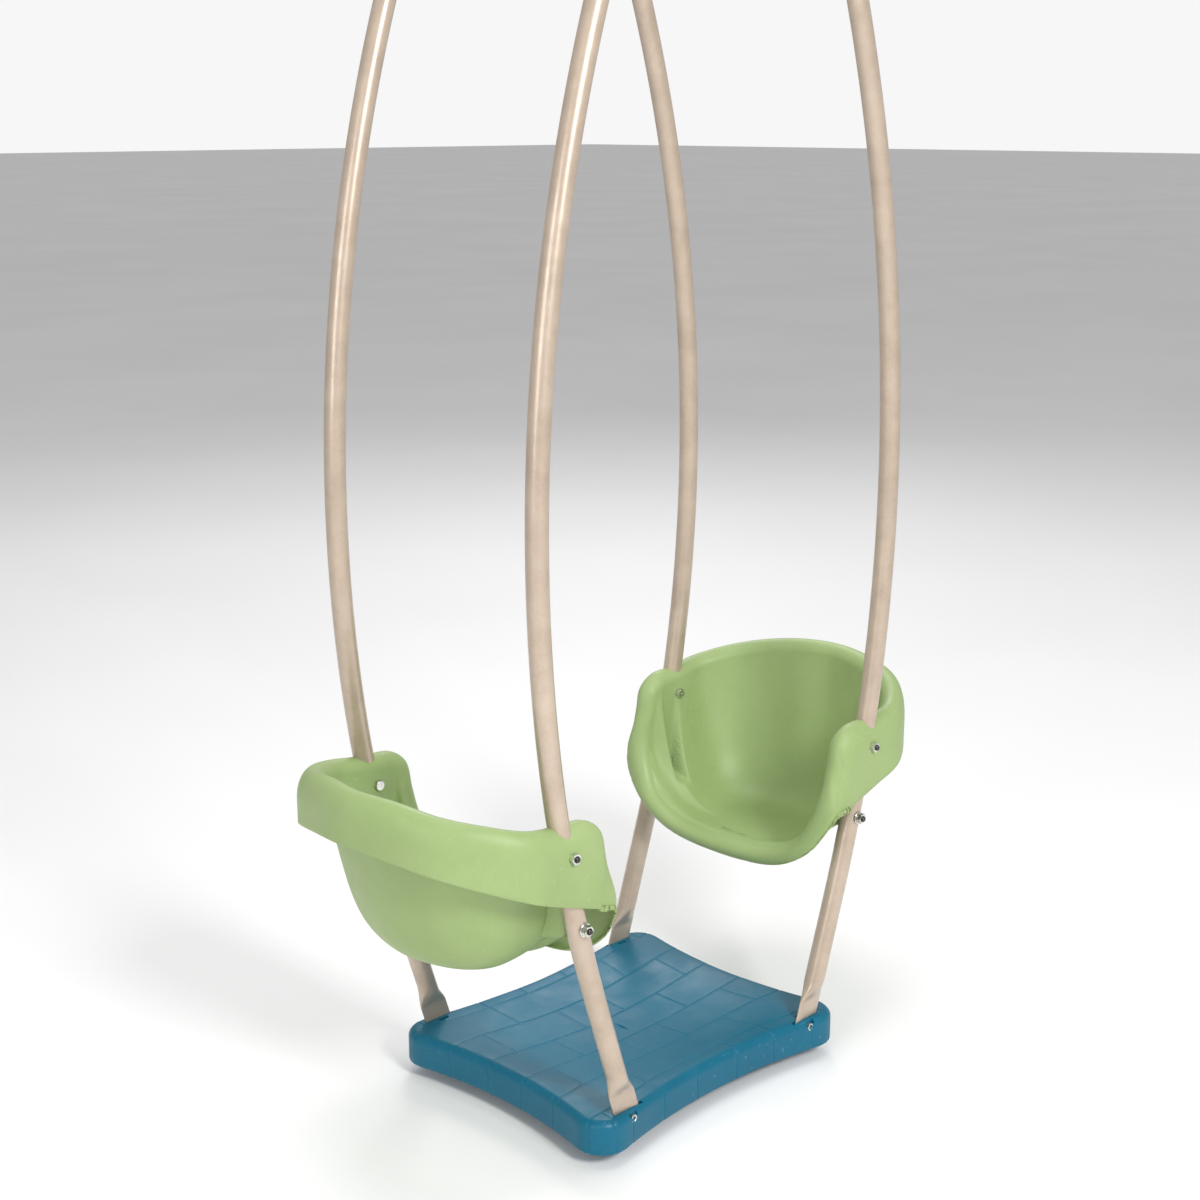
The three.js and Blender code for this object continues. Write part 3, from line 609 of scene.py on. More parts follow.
def normals_of(rows, pole):
    inner = np.concatenate([np.broadcast_to(pole, rows[:1].shape), rows[:-1]])
    outer = np.concatenate([rows[1:], rows[-1:]])
    beside = np.roll(rows, -1, axis=1) - np.roll(rows, 1, axis=1)
    return unit(np.cross(outer - inner, beside))


def wall_thickness(upper):
    """The wall thins towards the free edge where the skirt is narrow, round the front."""
    narrow = np.linalg.norm(upper[-1] - upper[RIM_ROW], axis=1)
    edge = np.clip(narrow / NARROW_SKIRT, THINNEST, 1.0)
    edge = evened(np.stack([edge] * 3, axis=1)[None], np.array([6.0]))[0, :, 0]
    past = smooth(RIM_ROW - 8, RIM_ROW + 4, np.arange(len(upper)))[:, None]
    return (SEAT_WALL * mix(1.0, edge[None, :], past))[:, :, None]


def seat_mesh(end):
    upper = channelled(seat_skin())
    normal = normals_of(upper, PAN_MIDDLE)
    spreads = np.full(len(upper), 1.2)
    normal = unit(evened(normal, spreads))
    if normal[3, 0, 2] < 0:
        normal = -normal
    wall = wall_thickness(upper)
    lower = upper - normal * wall
    tip = unit(upper[-1] - upper[-2])
    rounded = [
        upper[-1] - normal[-1] * wall[-1] * share + tip * wall[-1] * reach
        for share, reach in ((0.12, 0.14), (0.3, 0.22), (0.5, 0.25), (0.7, 0.22), (0.88, 0.14))
    ]
    rows = np.concatenate([upper, np.array(rounded), lower[::-1]])
    points = rows.reshape(-1, 3)
    faces = ring_faces(len(rows), SEAT_COLUMNS, closed=False)
    points = list(points)
    first = list(range(SEAT_COLUMNS))
    last = list(range((len(rows) - 1) * SEAT_COLUMNS, len(rows) * SEAT_COLUMNS))
    for ring, middle in ((first, PAN_MIDDLE), (last, PAN_MIDDLE - (0, 0, SEAT_WALL))):
        points.append(middle)
        for k, a in enumerate(ring):
            faces.append((a, ring[(k + 1) % SEAT_COLUMNS], len(points) - 1))
    placed = np.array(points) + (tube_x(UPPER_BOLT), 0, UPPER_BOLT)
    placed = placed * (end, end, 1)
    return make_mesh("seat", to_frame(placed), faces, 60)


def make_seat(end_name):
    mesh = seat_mesh(ENDS[end_name])
    name = f"seat_{end_name}"
    return add_piece(mesh, f"moulded_{name}", SEAT_PLASTIC, "swing", [name])


# ---------- foot plate ----------

PLATE_LENGTH = 245  # half length, and half width, at the corners and at the waist
PLATE_WIDTH = TRACK + 17
WAIST_LENGTH = 226
WAIST_WIDTH = TRACK - 6
PLATE_CORNER = 38
PLATE_FILLET = 12
FOOT_FILLET = 4
DISH = 15
GROOVE_DEPTH = 0.8
GROOVE_WIDTH = 1.2
# Board lines: shares of the half width and of the half length.
LONG_LINES = (0.18, 0.543, 0.9)
CROSS_LINES = (0.177, 0.487, 0.8, 0.925)
WINDOW_OFFSET = 9.7  # the openings beside each foot, over the screw head and the nut


def hollow_half(at, waist, corner_at, corner_half, corner):
    """Half size across the plate at a place along it: an arc that touches both round corners."""
    offset = corner_half - corner
    gap = waist - offset
    radius = (corner_at**2 + gap**2 - corner**2) / (2 * (corner - gap))
    touch = corner_at * radius / (radius + corner)
    arc = waist + radius - np.sqrt(np.maximum(radius**2 - np.minimum(at, touch) ** 2, 0))
    round_corner = offset + np.sqrt(np.maximum(corner**2 - np.maximum(corner_at - at, 0) ** 2, 0))
    return np.where(at < touch, arc, round_corner)


def lattice_shares(lines, half):
    """Shares from -1 to 1: an even spread, with seven close lines across each groove."""
    close = np.array([-3.2, -1.9, -0.95, 0, 0.95, 1.9, 3.2]) / half
    shares = set()
    for line in (0.0, *lines, *(-v for v in lines)):
        shares.update(np.round(line + close, 6))
    for even in np.linspace(-1, 1, 61):
        if min(abs(even - v) for v in shares) > 3.0 / half:
            shares.add(round(float(even), 6))
    return np.array(sorted(v for v in shares if -1 <= v <= 1))


def plate_place(s, r, inset):
    """Lattice shares to a place on the plate: waisted sides, and round corners."""
    length, width = PLATE_LENGTH - inset, PLATE_WIDTH - inset
    corner = PLATE_CORNER - inset
    corner_x, corner_y = length - corner, width - corner
    x, y = s * length, r * width
    for _ in range(12):
        reach_x = hollow_half(np.abs(y), WAIST_LENGTH - inset, corner_y, length, corner)
        reach_y = hollow_half(np.abs(x), WAIST_WIDTH - inset, corner_x, width, corner)
        x, y = s * reach_x, r * reach_y
    dx, dy = np.abs(x) - corner_x, np.abs(y) - corner_y
    in_corner = (dx > 0) & (dy > 0)
    most = np.maximum(dx, dy)
    length_of = np.maximum(np.hypot(dx, dy), 1e-9)
    x = np.where(in_corner, np.sign(x) * (corner_x + most * dx / length_of), x)
    y = np.where(in_corner, np.sign(y) * (corner_y + most * dy / length_of), y)
    return x, y


def plate_dish(x, y):
    reach = (x / WAIST_LENGTH) ** 2 + (y / WAIST_WIDTH) ** 2
    return -DISH * np.maximum(1 - reach, 0) ** 1.5


def groove(distance):
    return np.exp(-((distance / GROOVE_WIDTH) ** 2))


def board_lines(s, r):
    """How deep the board lines are cut, from 0 to 1, at shares of the half sizes."""
    deep = np.zeros(np.broadcast(s, r).shape)
    for line in LONG_LINES:
        deep = np.maximum(deep, groove((np.abs(r) - line) * WAIST_WIDTH) + 0 * s)
    bounds = (0.0, *LONG_LINES, 1.01)
    boards = ((0.487,), (0.177, 0.8), (0.487,), CROSS_LINES)
    for low, high, crossings in zip(bounds, bounds[1:], boards):
        band = ((np.abs(r) >= low) & (np.abs(r) <= high)) * 1.0
        for line in crossings:
            deep = np.maximum(deep, band * groove((np.abs(s) - line) * WAIST_LENGTH))
    return deep


def plate_mesh():
    s_list = lattice_shares(CROSS_LINES, WAIST_LENGTH)
    r_list = lattice_shares(LONG_LINES, WAIST_WIDTH)
    columns, rows = len(s_list), len(r_list)
    s, r = np.meshgrid(s_list, r_list)
    x, y = plate_place(s, r, PLATE_FILLET)
    up = plate_dish(x, y) - GROOVE_DEPTH * board_lines(s, r)
    slit = np.exp(-((x / 1.3) ** 2)) * (np.abs(y) < 8)
    up = up - 3 * slit
    points = [tuple(p) for p in np.stack([x, y, up], axis=-1).reshape(-1, 3)]
    faces = []
    for j in range(rows - 1):
        for i in range(columns - 1):
            a = j * columns + i
            faces.append((a, a + 1, a + columns + 1, a + columns))
    border = [(0, i) for i in range(columns)]
    border += [(j, columns - 1) for j in range(1, rows)]
    border += [(rows - 1, i) for i in range(columns - 2, -1, -1)]
    border += [(j, 0) for j in range(rows - 2, 0, -1)]
    bs = np.array([s_list[i] for _, i in border])
    br = np.array([r_list[j] for j, _ in border])
    line = np.array([points[j * columns + i] for j, i in border])
    beside = np.roll(line, -1, axis=0) - np.roll(line, 1, axis=0)
    outwards = unit(np.stack([beside[:, 1], -beside[:, 0], 0 * beside[:, 0]], axis=1))
    deep = board_lines(bs, br)[:, None] * GROOVE_DEPTH
    top = plate_dish(line[:, 0], line[:, 1])[:, None]
    floor = -PLATE_DEPTH
    flat = line * (1, 1, 0)
    upright = np.array((0, 0, 1.0))
    rings = []
    for turn in np.linspace(0, math.pi / 2, 8)[1:]:
        sin, cos = math.sin(turn), math.cos(turn)
        rings.append(
            flat + outwards * (PLATE_FILLET * sin - deep * sin)
            + upright * (top - PLATE_FILLET * (1 - cos) - deep * cos)
        )
    side = flat + outwards * (PLATE_FILLET - deep)
    low = floor + FOOT_FILLET
    for share in (0.33, 0.66, 1.0):
        rings.append(side + upright * mix(top - PLATE_FILLET, low, share))
    for turn in np.linspace(0, math.pi / 2, 5)[1:]:
        inward = FOOT_FILLET * (1 - math.cos(turn))
        rings.append(side - outwards * inward + upright * (low - FOOT_FILLET * math.sin(turn)))
    hollow_rings = ((14, 0.0), (17, 4.0), (30, 5.0))
    for inward, lift in hollow_rings:
        rings.append(side - outwards * inward + upright * (floor + lift))
    start = len(points)
    count = len(border)
    for ring in rings:
        points += [tuple(p) for p in ring]
    for k in range(count):
        a = border[k][0] * columns + border[k][1]
        b = border[(k + 1) % count][0] * columns + border[(k + 1) % count][1]
        faces.append((a, b, start + (k + 1) % count, start + k))
    faces += ring_faces(len(rings), count, closed=False, start=start)
    last = start + (len(rings) - 1) * count
    middle = len(points)
    points.append((0, 0, floor + 5))
    for k in range(count):
        faces.append((last + k, last + (k + 1) % count, middle))
    return make_mesh("foot_plate", to_frame(points), faces, 60)


def box_faces(points, faces, low, high):
    start = len(points)
    for z in (low[2], high[2]):
        points += [(low[0], low[1], z), (high[0], low[1], z), (high[0], high[1], z), (low[0], high[1], z)]
    for quad in ((3, 2, 1, 0), (4, 5, 6, 7), (0, 1, 5, 4), (1, 2, 6, 5), (2, 3, 7, 6), (3, 0, 4, 7)):
        faces.append(tuple(start + k for k in quad))


def cut(mesh, cutter_points, cutter_faces):
    """The mesh with boxes cut out of it."""
    body = bpy.data.objects.new("cut_body", mesh)
    tool_mesh = bpy.data.meshes.new("cut_tool")
    tool_mesh.from_pydata([tuple(p) for p in cutter_points], [], cutter_faces)
    tool = bpy.data.objects.new("cut_tool", tool_mesh)
    for thing in (body, tool):
        bpy.context.collection.objects.link(thing)
    modifier = body.modifiers.new("cut", "BOOLEAN")
    modifier.operation = "DIFFERENCE"
    modifier.solver = "EXACT"
    modifier.object = tool
    graph = bpy.context.evaluated_depsgraph_get()
    made = bpy.data.meshes.new_from_object(body.evaluated_get(graph))
    bpy.data.objects.remove(body)
    bpy.data.objects.remove(tool)
    return made


def make_foot_plate():
    mesh = plate_mesh()
    points, faces = [], []
    lean_rise = FLAT_WIDTH / 2 * math.sin(LEG_LEAN)
    lean_reach = FLAT_WIDTH / 2 * math.cos(LEG_LEAN)
    near = tube_x(-FOOT_DEPTH) - lean_reach - SLOT_CLEARANCE
    far = tube_x(lean_rise) + lean_reach + SLOT_CLEARANCE
    bolt_x = tube_x(FOOT_BOLT)
    for end in ENDS.values():
        for side in SIDES.values():
            xs = sorted((end * near, end * far))
            y = side * TRACK
            half = FLAT_THICKNESS / 2 + SLOT_CLEARANCE
            box_faces(points, faces, (xs[0], y - half, -FOOT_DEPTH - 9), (xs[1], y + half, 3))
            for offset in (-WINDOW_OFFSET, WINDOW_OFFSET):
                low = (end * bolt_x - 8, y + offset - 2.5, -9)
                high = (end * bolt_x + 8, y + offset + 2.5, 3)
                box_faces(points, faces, low, high)
    made = cut(mesh, to_frame(points), faces)
    return add_piece(made, "moulded_foot_plate", PLATE_PLASTIC, "swing", ["foot_plate"])


# ---------- fasteners ----------

def turned(profile, columns=48):
    """A closed ring of a profile: each step gives a radius at a turn and a height at a turn."""
    points, faces = [], []
    for radius, height in profile:
        for c in range(columns):
            turn = 2 * math.pi * c / columns
            rad = radius(turn) if callable(radius) else radius
            up = height(turn) if callable(height) else height
            points.append((rad * math.cos(turn), rad * math.sin(turn), up))
    faces = ring_faces(len(profile), columns, closed=True)
    return points, faces


def hexagon_radius(flats):
    def radius(turn):
        within = (turn % (math.pi / 3)) - math.pi / 6
        return flats / 2 / math.cos(within)
    return radius


def hexagon_profile(flats, low, high, bore, chamfer_top=True, chamfer_foot=True):
    """A hexagon with its corners turned off at 30 degrees, round a bore."""
    hexagon = hexagon_radius(flats)
    face = flats / 2 * 0.96
    fall = math.tan(math.radians(30))

    def top(turn):
        return high - (hexagon(turn) - face) * fall if chamfer_top else high

    def foot(turn):
        return low + (hexagon(turn) - face) * fall if chamfer_foot else low

    return [(bore + 0.6, low), (face, low), (hexagon, foot), (hexagon, top), (face, high),
            (bore + 0.6, high), (bore, high - 0.6), (bore, low + 0.6)]


def washer_mesh(radius, bore, thickness):
    edge = 0.3
    profile = [(bore, edge), (bore + edge, 0), (radius - edge, 0), (radius, edge),
               (radius, thickness - edge), (radius - edge, thickness), (bore + edge, thickness),
               (bore, thickness - edge)]
    points, faces = turned(profile, 56)
    return make_mesh("washer", np.array(points) * MM, faces, 35)


def nut_mesh(screw):
    points, faces = turned(hexagon_profile(screw["flats"], 0, screw["nut"], screw["shank"] - 0.1))
    return make_mesh("nut", np.array(points) * MM, faces, 25)


def group_input(tree, name, kind, value=None):
    socket = tree.interface.new_socket(name, in_out="INPUT", socket_type=kind)
    if value is not None:
        socket.default_value = value
    return socket


def new_tree(name):
    tree = bpy.data.node_groups.new(name, "GeometryNodeTree")
    tree.interface.new_socket("Geometry", in_out="OUTPUT", socket_type="NodeSocketGeometry")
    return tree, tree.nodes.new("NodeGroupInput"), tree.nodes.new("NodeGroupOutput")


def thread_tree():
    """A thread's ridge: a helix up a shank, swept with a small square stood on its corner."""
    tree, given, made = new_tree("screw_thread")
    for name, value in (("Radius", 0.004), ("Length", 0.01), ("Pitch", 0.00125), ("Start", 0.0)):
        group_input(tree, name, "NodeSocketFloat", value)
    group_input(tree, "Finish", "NodeSocketMaterial")
    link = tree.links.new
    turns = tree.nodes.new("ShaderNodeMath")
    turns.operation = "DIVIDE"
    link(given.outputs["Length"], turns.inputs[0])
    link(given.outputs["Pitch"], turns.inputs[1])
    helix = tree.nodes.new("GeometryNodeCurveSpiral")
    helix.inputs["Resolution"].default_value = 20
    link(turns.outputs[0], helix.inputs["Rotations"])
    for key in ("Start Radius", "End Radius"):
        link(given.outputs["Radius"], helix.inputs[key])
    link(given.outputs["Length"], helix.inputs["Height"])
    depth = tree.nodes.new("ShaderNodeMath")
    depth.operation = "MULTIPLY"
    depth.inputs[1].default_value = 0.36
    link(given.outputs["Pitch"], depth.inputs[0])
    ridge = tree.nodes.new("GeometryNodeCurvePrimitiveCircle")
    ridge.inputs["Resolution"].default_value = 4
    link(depth.outputs[0], ridge.inputs["Radius"])
    sweep = tree.nodes.new("GeometryNodeCurveToMesh")
    sweep.inputs["Fill Caps"].default_value = True
    link(helix.outputs[0], sweep.inputs["Curve"])
    link(ridge.outputs[0], sweep.inputs["Profile Curve"])
    lift = tree.nodes.new("ShaderNodeCombineXYZ")
    link(given.outputs["Start"], lift.inputs["Z"])
    shift = tree.nodes.new("GeometryNodeTransform")
    link(sweep.outputs[0], shift.inputs["Geometry"])
    link(lift.outputs[0], shift.inputs["Translation"])
    real = tree.nodes.new("GeometryNodeRealizeInstances")
    coat = tree.nodes.new("GeometryNodeSetMaterial")
    link(shift.outputs[0], real.inputs[0])
    link(real.outputs[0], coat.inputs["Geometry"])
    link(given.outputs["Finish"], coat.inputs["Material"])
    link(coat.outputs[0], made.inputs[0])
    return tree


def placing_tree():
    """One fastener stood on every point of a mesh, turned by the point's own turn attribute."""
    tree, given, made = new_tree("fasteners_in_place")
    group_input(tree, "Places", "NodeSocketGeometry")
    group_input(tree, "Fastener", "NodeSocketObject")
    group_input(tree, "Finish", "NodeSocketMaterial")
    link = tree.links.new
    info = tree.nodes.new("GeometryNodeObjectInfo")
    link(given.outputs["Fastener"], info.inputs["Object"])
    turn = tree.nodes.new("GeometryNodeInputNamedAttribute")
    turn.data_type = "FLOAT_VECTOR"
    turn.inputs["Name"].default_value = "turn"
    stand = tree.nodes.new("GeometryNodeInstanceOnPoints")
    link(given.outputs["Places"], stand.inputs["Points"])
    link(info.outputs["Geometry"], stand.inputs["Instance"])
    link(turn.outputs[0], stand.inputs["Rotation"])
    real = tree.nodes.new("GeometryNodeRealizeInstances")
    coat = tree.nodes.new("GeometryNodeSetMaterial")
    link(stand.outputs[0], real.inputs[0])
    link(real.outputs[0], coat.inputs["Geometry"])
    link(given.outputs["Finish"], coat.inputs["Material"])
    link(coat.outputs[0], made.inputs[0])
    return tree


THREAD = thread_tree()
PLACING = placing_tree()


def run_tree(tree, mesh, values):
    """A node tree's result as a plain mesh."""
    holder = bpy.data.objects.new("holder", mesh)
    bpy.context.collection.objects.link(holder)
    modifier = holder.modifiers.new("made", "NODES")
    modifier.node_group = tree
    sockets = {item.name: item.identifier for item in tree.interface.items_tree if item.in_out == "INPUT"}
    for name, value in values.items():
        modifier[sockets[name]] = value
    graph = bpy.context.evaluated_depsgraph_get()
    made = bpy.data.meshes.new_from_object(holder.evaluated_get(graph))
    bpy.data.objects.remove(holder)
    return made


def joined(meshes, threads=(), smooth_angle=30):
    """One mesh of several, with the attribute "thread" set on those that are threads."""
    bm = bmesh.new()
    layer = bm.verts.layers.float.new("thread")
    done = 0
    for mesh in (*meshes, *threads):
        bm.from_mesh(mesh)
        bm.verts.ensure_lookup_table()
        for vert in bm.verts[done:]:
            vert[layer] = 1.0 if mesh in threads else 0.0
        done = len(bm.verts)
    whole = bpy.data.meshes.new("joined")
    bm.to_mesh(whole)
    bm.free()
    shade(whole, smooth_angle)
    return whole


def rod_mesh(radius, low, high, chamfer, columns=32):
    points, faces = [], []
    for rad, up in ((radius - chamfer, low), (radius, low + chamfer), (radius, high - chamfer),
                    (radius - chamfer, high)):
        for c in range(columns):
            turn = 2 * math.pi * c / columns
            points.append(np.array((rad * math.cos(turn), rad * math.sin(turn), up)))
    faces = ring_faces(4, columns, closed=False)
    cap(points, faces, list(range(columns)))
    cap(points, faces, list(range(3 * columns, 4 * columns)))
    return make_mesh("rod", np.array(points) * MM, faces, 35)


def threaded(screw, low, high):
    """A thread's ridge on a shank that stands along Z."""
    blank = bpy.data.meshes.new("blank")
    core = screw["shank"] - 0.36 * screw["pitch"]
    values = {
        "Radius": core * MM,
        "Length": (high - low) * MM,
        "Pitch": screw["pitch"] * MM,
        "Start": low * MM,
        "Finish": ZINC,
    }
    return run_tree(THREAD, blank, values)


def bolt_mesh(screw, length, thread):
    """A hexagon bolt that stands along Z: its head is below zero, its thread is at the tip."""
    hexagon = hexagon_profile(screw["flats"], -screw["head"], 0, 0.7, chamfer_top=False)
    points, faces = turned(hexagon)
    head = make_mesh("head", np.array(points) * MM, faces, 25)
    core = screw["shank"] - 0.36 * screw["pitch"]
    plug = rod_mesh(1.2, -screw["head"] + 0.4, -0.4, 0.2)
    shank = rod_mesh(screw["shank"], -0.5, length - thread, 0.3)
    tip = rod_mesh(core, length - thread - 0.5, length, 0.5)
    ridge = threaded(screw, length - thread, length - screw["pitch"] / 2)
    return joined([head, plug, shank], [tip, ridge])


def place_many(prototype, places, name, material, body, nodes):
    """Copies of a fastener stood at (x, y, up, turns about X, Y and Z) in swing space."""
    spots = bpy.data.meshes.new("places")
    spots.from_pydata([tuple(to_frame(p[:3])) for p in places], [], [])
    turns = spots.attributes.new("turn", "FLOAT_VECTOR", "POINT")
    for k, place in enumerate(places):
        turns.data[k].vector = place[3]
    model = bpy.data.objects.new("prototype", prototype)
    bpy.context.collection.objects.link(model)
    made = run_tree(PLACING, spots, {"Fastener": model, "Finish": material})
    bpy.data.objects.remove(model)
    shade(made, 30)
    return add_piece(made, name, material, body, nodes)


def facing(side):
    """The turn that stands a Z fastener along Y, outwards on that side."""
    return (-side * math.pi / 2, 0.0, 0.0)


def tagged(word):
    return [f"{word}_{end}_{side}" for end, side in CORNERS]


def make_seat_fasteners():
    seat_face = TRACK - TUBE_RADIUS - GAP - PAD_THICKNESS - GAP
    levels = (
        ("upper", UPPER_BOLT, TRACK + RIM + GAP, 0.0),
        ("lower", LOWER_BOLT, TRACK + TUBE_RADIUS + GAP, 1.9),
    )
    for level, up, bearing, washer in levels:
        nut_at = bearing + washer
        length = nut_at + M8["nut"] + 2.5 - seat_face
        bolt = bolt_mesh(M8, length, 14)
        corner = [(ENDS[e] * tube_x(up), SIDES[s], up) for e, s in CORNERS]
        spots = [(x, side * seat_face, z, facing(side)) for x, side, z in corner]
        place_many(bolt, spots, f"{level}_seat_bolts", ZINC, "swing", tagged(f"{level}_bolt"))
        spots = [(x, side * nut_at, z, facing(side)) for x, side, z in corner]
        place_many(nut_mesh(M8), spots, f"{level}_seat_nuts", ZINC, "swing", tagged(f"{level}_nut"))
        if washer:
            spots = [(x, side * bearing, z, facing(side)) for x, side, z in corner]
            disc = washer_mesh(9, 4.3, 1.6)
            place_many(disc, spots, "lower_seat_washers", ZINC, "swing", tagged("lower_washer"))


def make_plate_fasteners():
    gap = WINDOW_OFFSET - M6["nut"] / 2
    length = 2 * gap + M6["nut"]
    corner = [(ENDS[e] * tube_x(FOOT_BOLT), SIDES[s]) for e, s in CORNERS]
    spots = [(x, side * (TRACK - gap), FOOT_BOLT, facing(side)) for x, side in corner]
    bolt = bolt_mesh(M6, length, 10)
    place_many(bolt, spots, "foot_plate_bolts", ZINC, "swing", tagged("plate_bolt"))
    spots = [(x, side * (TRACK + gap), FOOT_BOLT, facing(side)) for x, side in corner]
    place_many(nut_mesh(M6), spots, "foot_plate_nuts", ZINC, "swing", tagged("plate_nut"))


# ---------- hangers ----------

EYE_THICKNESS = 14
SLEEVE_HALF = (EYE_THICKNESS + 2 * (1.5 + 0.35) + 0.6) / 2
BEAM = 90
BEAM_WASHER = 3


def per_side(word):
    return [f"{word}_{side}" for side in SIDES]


def make_pivots():
    stack = SLEEVE_HALF + GAP + FLAT_THICKNESS + GAP
    length = 2 * stack + M10["nut"] + 2.8
    spots = [(0, s * (TRACK + stack), PIVOT, facing(-s)) for s in SIDES.values()]
    bolt = bolt_mesh(M10, length, 14)
    place_many(bolt, spots, "apex_bolts", ZINC, "swing", per_side("apex_bolt"))
    spots = [(0, s * (TRACK - stack), PIVOT, facing(-s)) for s in SIDES.values()]
    place_many(nut_mesh(M10), spots, "apex_nuts", ZINC, "swing", per_side("apex_nut"))
    spots = [(0, s * (TRACK - SLEEVE_HALF), PIVOT, facing(s)) for s in SIDES.values()]
    sleeve = washer_mesh(7, 5.3, 2 * SLEEVE_HALF)
    place_many(sleeve, spots, "pivot_sleeves", ZINC, "swing", per_side("pivot_sleeve"))


def make_bushes():
    bore, barrel, flange, lip = 7.35, 10, 14, 1.5
    length = EYE_THICKNESS / 2
    profile = [(bore + 0.4, 0), (barrel - 0.4, 0), (barrel, 0.4), (barrel, length), (flange - 0.5, length),
               (flange, length + 0.5), (flange, length + lip - 0.5), (flange - 0.5, length + lip),
               (bore + 0.4, length + lip), (bore, length + lip - 0.4), (bore, 0.4)]
    points, faces = turned(profile, 56)
    bush = make_mesh("bush", np.array(points) * MM, faces, 35)
    spots, nodes = [], []
    for side_name, side in SIDES.items():
        for way, word in ((side, "outer"), (-side, "inner")):
            spots.append((0, side * TRACK + way * GAP, PIVOT, facing(way)))
            nodes.append(f"pivot_bush_{side_name}_{word}")
    place_many(bush, spots, "pivot_bushes", NYLON, "hangers", nodes)


def eye_bolt_mesh():
    """A forged eye round the bush, drawn into a threaded shank that stands along Z."""
    outer, bore, half = 20.0, 10.3, EYE_THICKNESS / 2
    middle, spread = (outer + bore) / 2, (outer - bore) / 2
    section = []
    for k in range(24):
        turn = 2 * math.pi * k / 24
        c, s = math.cos(turn), math.sin(turn)
        rad = middle + spread * math.copysign(abs(c) ** 0.45, c)
        section.append((rad, half * math.copysign(abs(s) ** 0.45, s)))
    points, faces = turned(section, 72)
    ring = [(x, z, y) for x, y, z in points]
    eye = make_mesh("eye", np.array(ring) * MM, faces, 50)
    top = -PIVOT - DECK + BEAM + (BEAM_WASHER + GAP) + M12["nut"] + 9
    neck_points, neck_faces = [], []
    for rad, up in ((9.5, outer - 6), (8.2, outer - 2), (6.9, outer + 2), (6.1, outer + 6), (6.0, outer + 9)):
        for c in range(36):
            turn = 2 * math.pi * c / 36
            across = min(rad, half - 0.5) if up < outer else rad
            neck_points.append(np.array((rad * math.cos(turn), across * math.sin(turn), up)))
    neck_faces = ring_faces(5, 36, closed=False)
    cap(neck_points, neck_faces, list(range(36)))
    cap(neck_points, neck_faces, list(range(144, 180)))
    neck = make_mesh("neck", np.array(neck_points) * MM, neck_faces, 50)
    core = M12["shank"] - 0.36 * M12["pitch"]
    shank = rod_mesh(core, outer + 6, top, 0.8)
    return joined([eye, neck], [shank, threaded(M12, outer + 8, top - 1)])


def make_eye_bolts():
    spots = [(0, s * TRACK, PIVOT, (0.0, 0.0, 0.0)) for s in SIDES.values()]
    place_many(eye_bolt_mesh(), spots, "eye_bolts", ZINC, "hangers", per_side("eye_bolt"))


def make_beam_fasteners():
    beam_low = -DECK
    upright = (0.0, 0.0, 0.0)
    levels = (
        ("lower_beam_washer", beam_low - BEAM_WASHER, washer_mesh(18.5, 6.3, BEAM_WASHER)),
        ("upper_beam_washer", beam_low + BEAM, washer_mesh(18.5, 6.3, BEAM_WASHER)),
        ("lower_beam_nut", beam_low - (BEAM_WASHER + GAP) - M12["nut"], nut_mesh(M12)),
        ("upper_beam_nut", beam_low + BEAM + (BEAM_WASHER + GAP), nut_mesh(M12)),
    )
    for word, up, mesh in levels:
        spots = [(0, s * TRACK, up, upright) for s in SIDES.values()]
        place_many(mesh, spots, f"{word}s", ZINC, "hangers", per_side(word))


# ---------- floor, light and camera ----------

def make_floor():
    half = 60.0
    level = CAD_BOX[0].z - 0.02
    mesh = bpy.data.meshes.new("floor")
    mesh.from_pydata([(-half, -half, level), (half, -half, level), (half, half, level), (-half, half, level)],
                     [], [(0, 1, 2, 3)])
    mesh.materials.append(studio_floor())
    floor = bpy.data.objects.new("floor", mesh)
    bpy.context.collection.objects.link(floor)


def add_light(name, place, target, size, power, tint=(1, 1, 1)):
    data = bpy.data.lights.new(name, "AREA")
    data.shape = "DISK"
    data.size = size
    data.energy = power
    data.color = tint
    light = bpy.data.objects.new(name, data)
    light.location = place
    light.rotation_euler = (Vector(target) - Vector(place)).to_track_quat("-Z", "Y").to_euler()
    bpy.context.collection.objects.link(light)


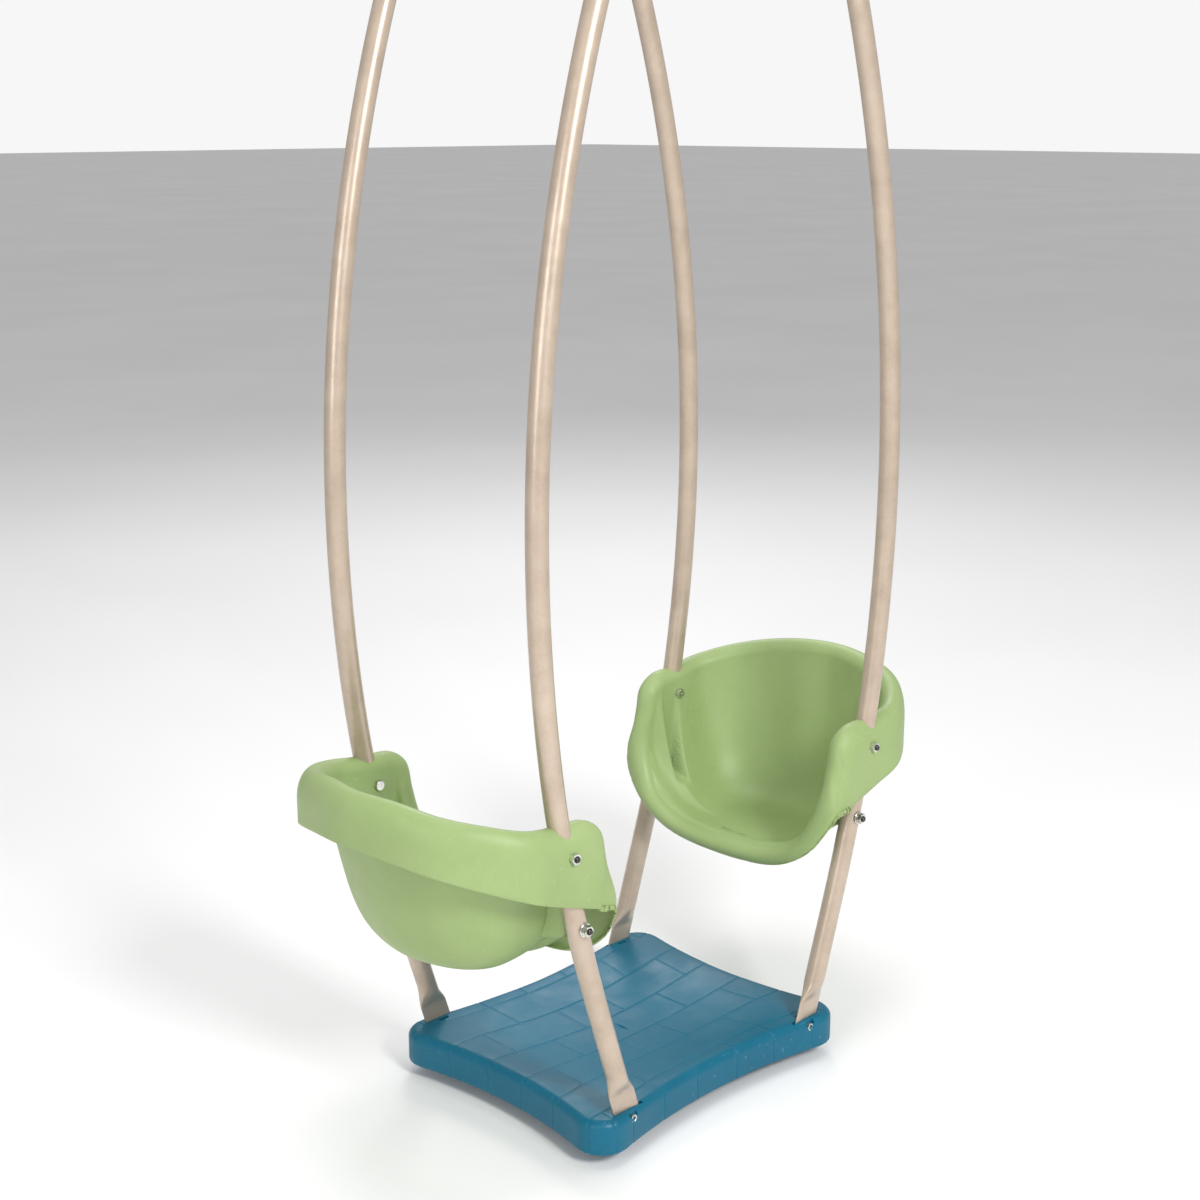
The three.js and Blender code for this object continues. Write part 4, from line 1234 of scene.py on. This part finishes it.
def make_lights():
    world = bpy.data.worlds.new("studio")
    bpy.context.scene.world = world
    world.use_nodes = True
    tree = world.node_tree
    background = tree.nodes["Background"]
    background.inputs["Color"].default_value = (1.0, 1.0, 1.0, 1.0)
    background.inputs["Strength"].default_value = 0.5
    seen = tree.nodes.new("ShaderNodeBackground")
    seen.inputs["Color"].default_value = (0.93, 0.93, 0.93, 1.0)
    path = tree.nodes.new("ShaderNodeLightPath")
    chosen = tree.nodes.new("ShaderNodeMixShader")
    tree.links.new(path.outputs["Is Camera Ray"], chosen.inputs[0])
    tree.links.new(background.outputs[0], chosen.inputs[1])
    tree.links.new(seen.outputs[0], chosen.inputs[2])
    tree.links.new(chosen.outputs[0], tree.nodes["World Output"].inputs["Surface"])
    middle = (0.0, 0.0, -1.4)
    add_light("key", (-0.9, -3.3, 0.7), middle, 1.0, 110)
    add_light("fill", (-3.3, -0.8, -0.4), middle, 1.6, 26)
    add_light("back", (2.6, 2.6, 1.4), middle, 1.6, 50)
    add_light("top", (0.0, 0.0, 2.6), middle, 2.0, 55)
    bpy.context.scene.view_settings.view_transform = "Standard"


def make_camera():
    azimuth, elevation, distance = math.radians(-45.27), math.radians(14.16), 2596.0
    target = Vector((-21.9, 22.1, 611.7 + DECK)) * MM
    back = Vector((
        math.sin(azimuth) * math.cos(elevation),
        -math.cos(azimuth) * math.cos(elevation),
        math.sin(elevation),
    ))
    data = bpy.data.cameras.new("camera")
    data.sensor_width = 36
    data.lens = 57.85
    data.clip_end = 200
    camera = bpy.data.objects.new("camera", data)
    camera.location = target + back * distance * MM
    camera.rotation_mode = "QUATERNION"
    camera.rotation_quaternion = (-back).to_track_quat("-Z", "Y")
    bpy.context.collection.objects.link(camera)
    bpy.context.scene.camera = camera


for seat_end in ENDS:
    make_seat(seat_end)
    for tube_side in SIDES:
        make_tube(seat_end, tube_side)
make_foot_plate()
make_seat_fasteners()
make_plate_fasteners()
make_pivots()
make_bushes()
make_eye_bolts()
make_beam_fasteners()
make_floor()
make_lights()
make_camera()
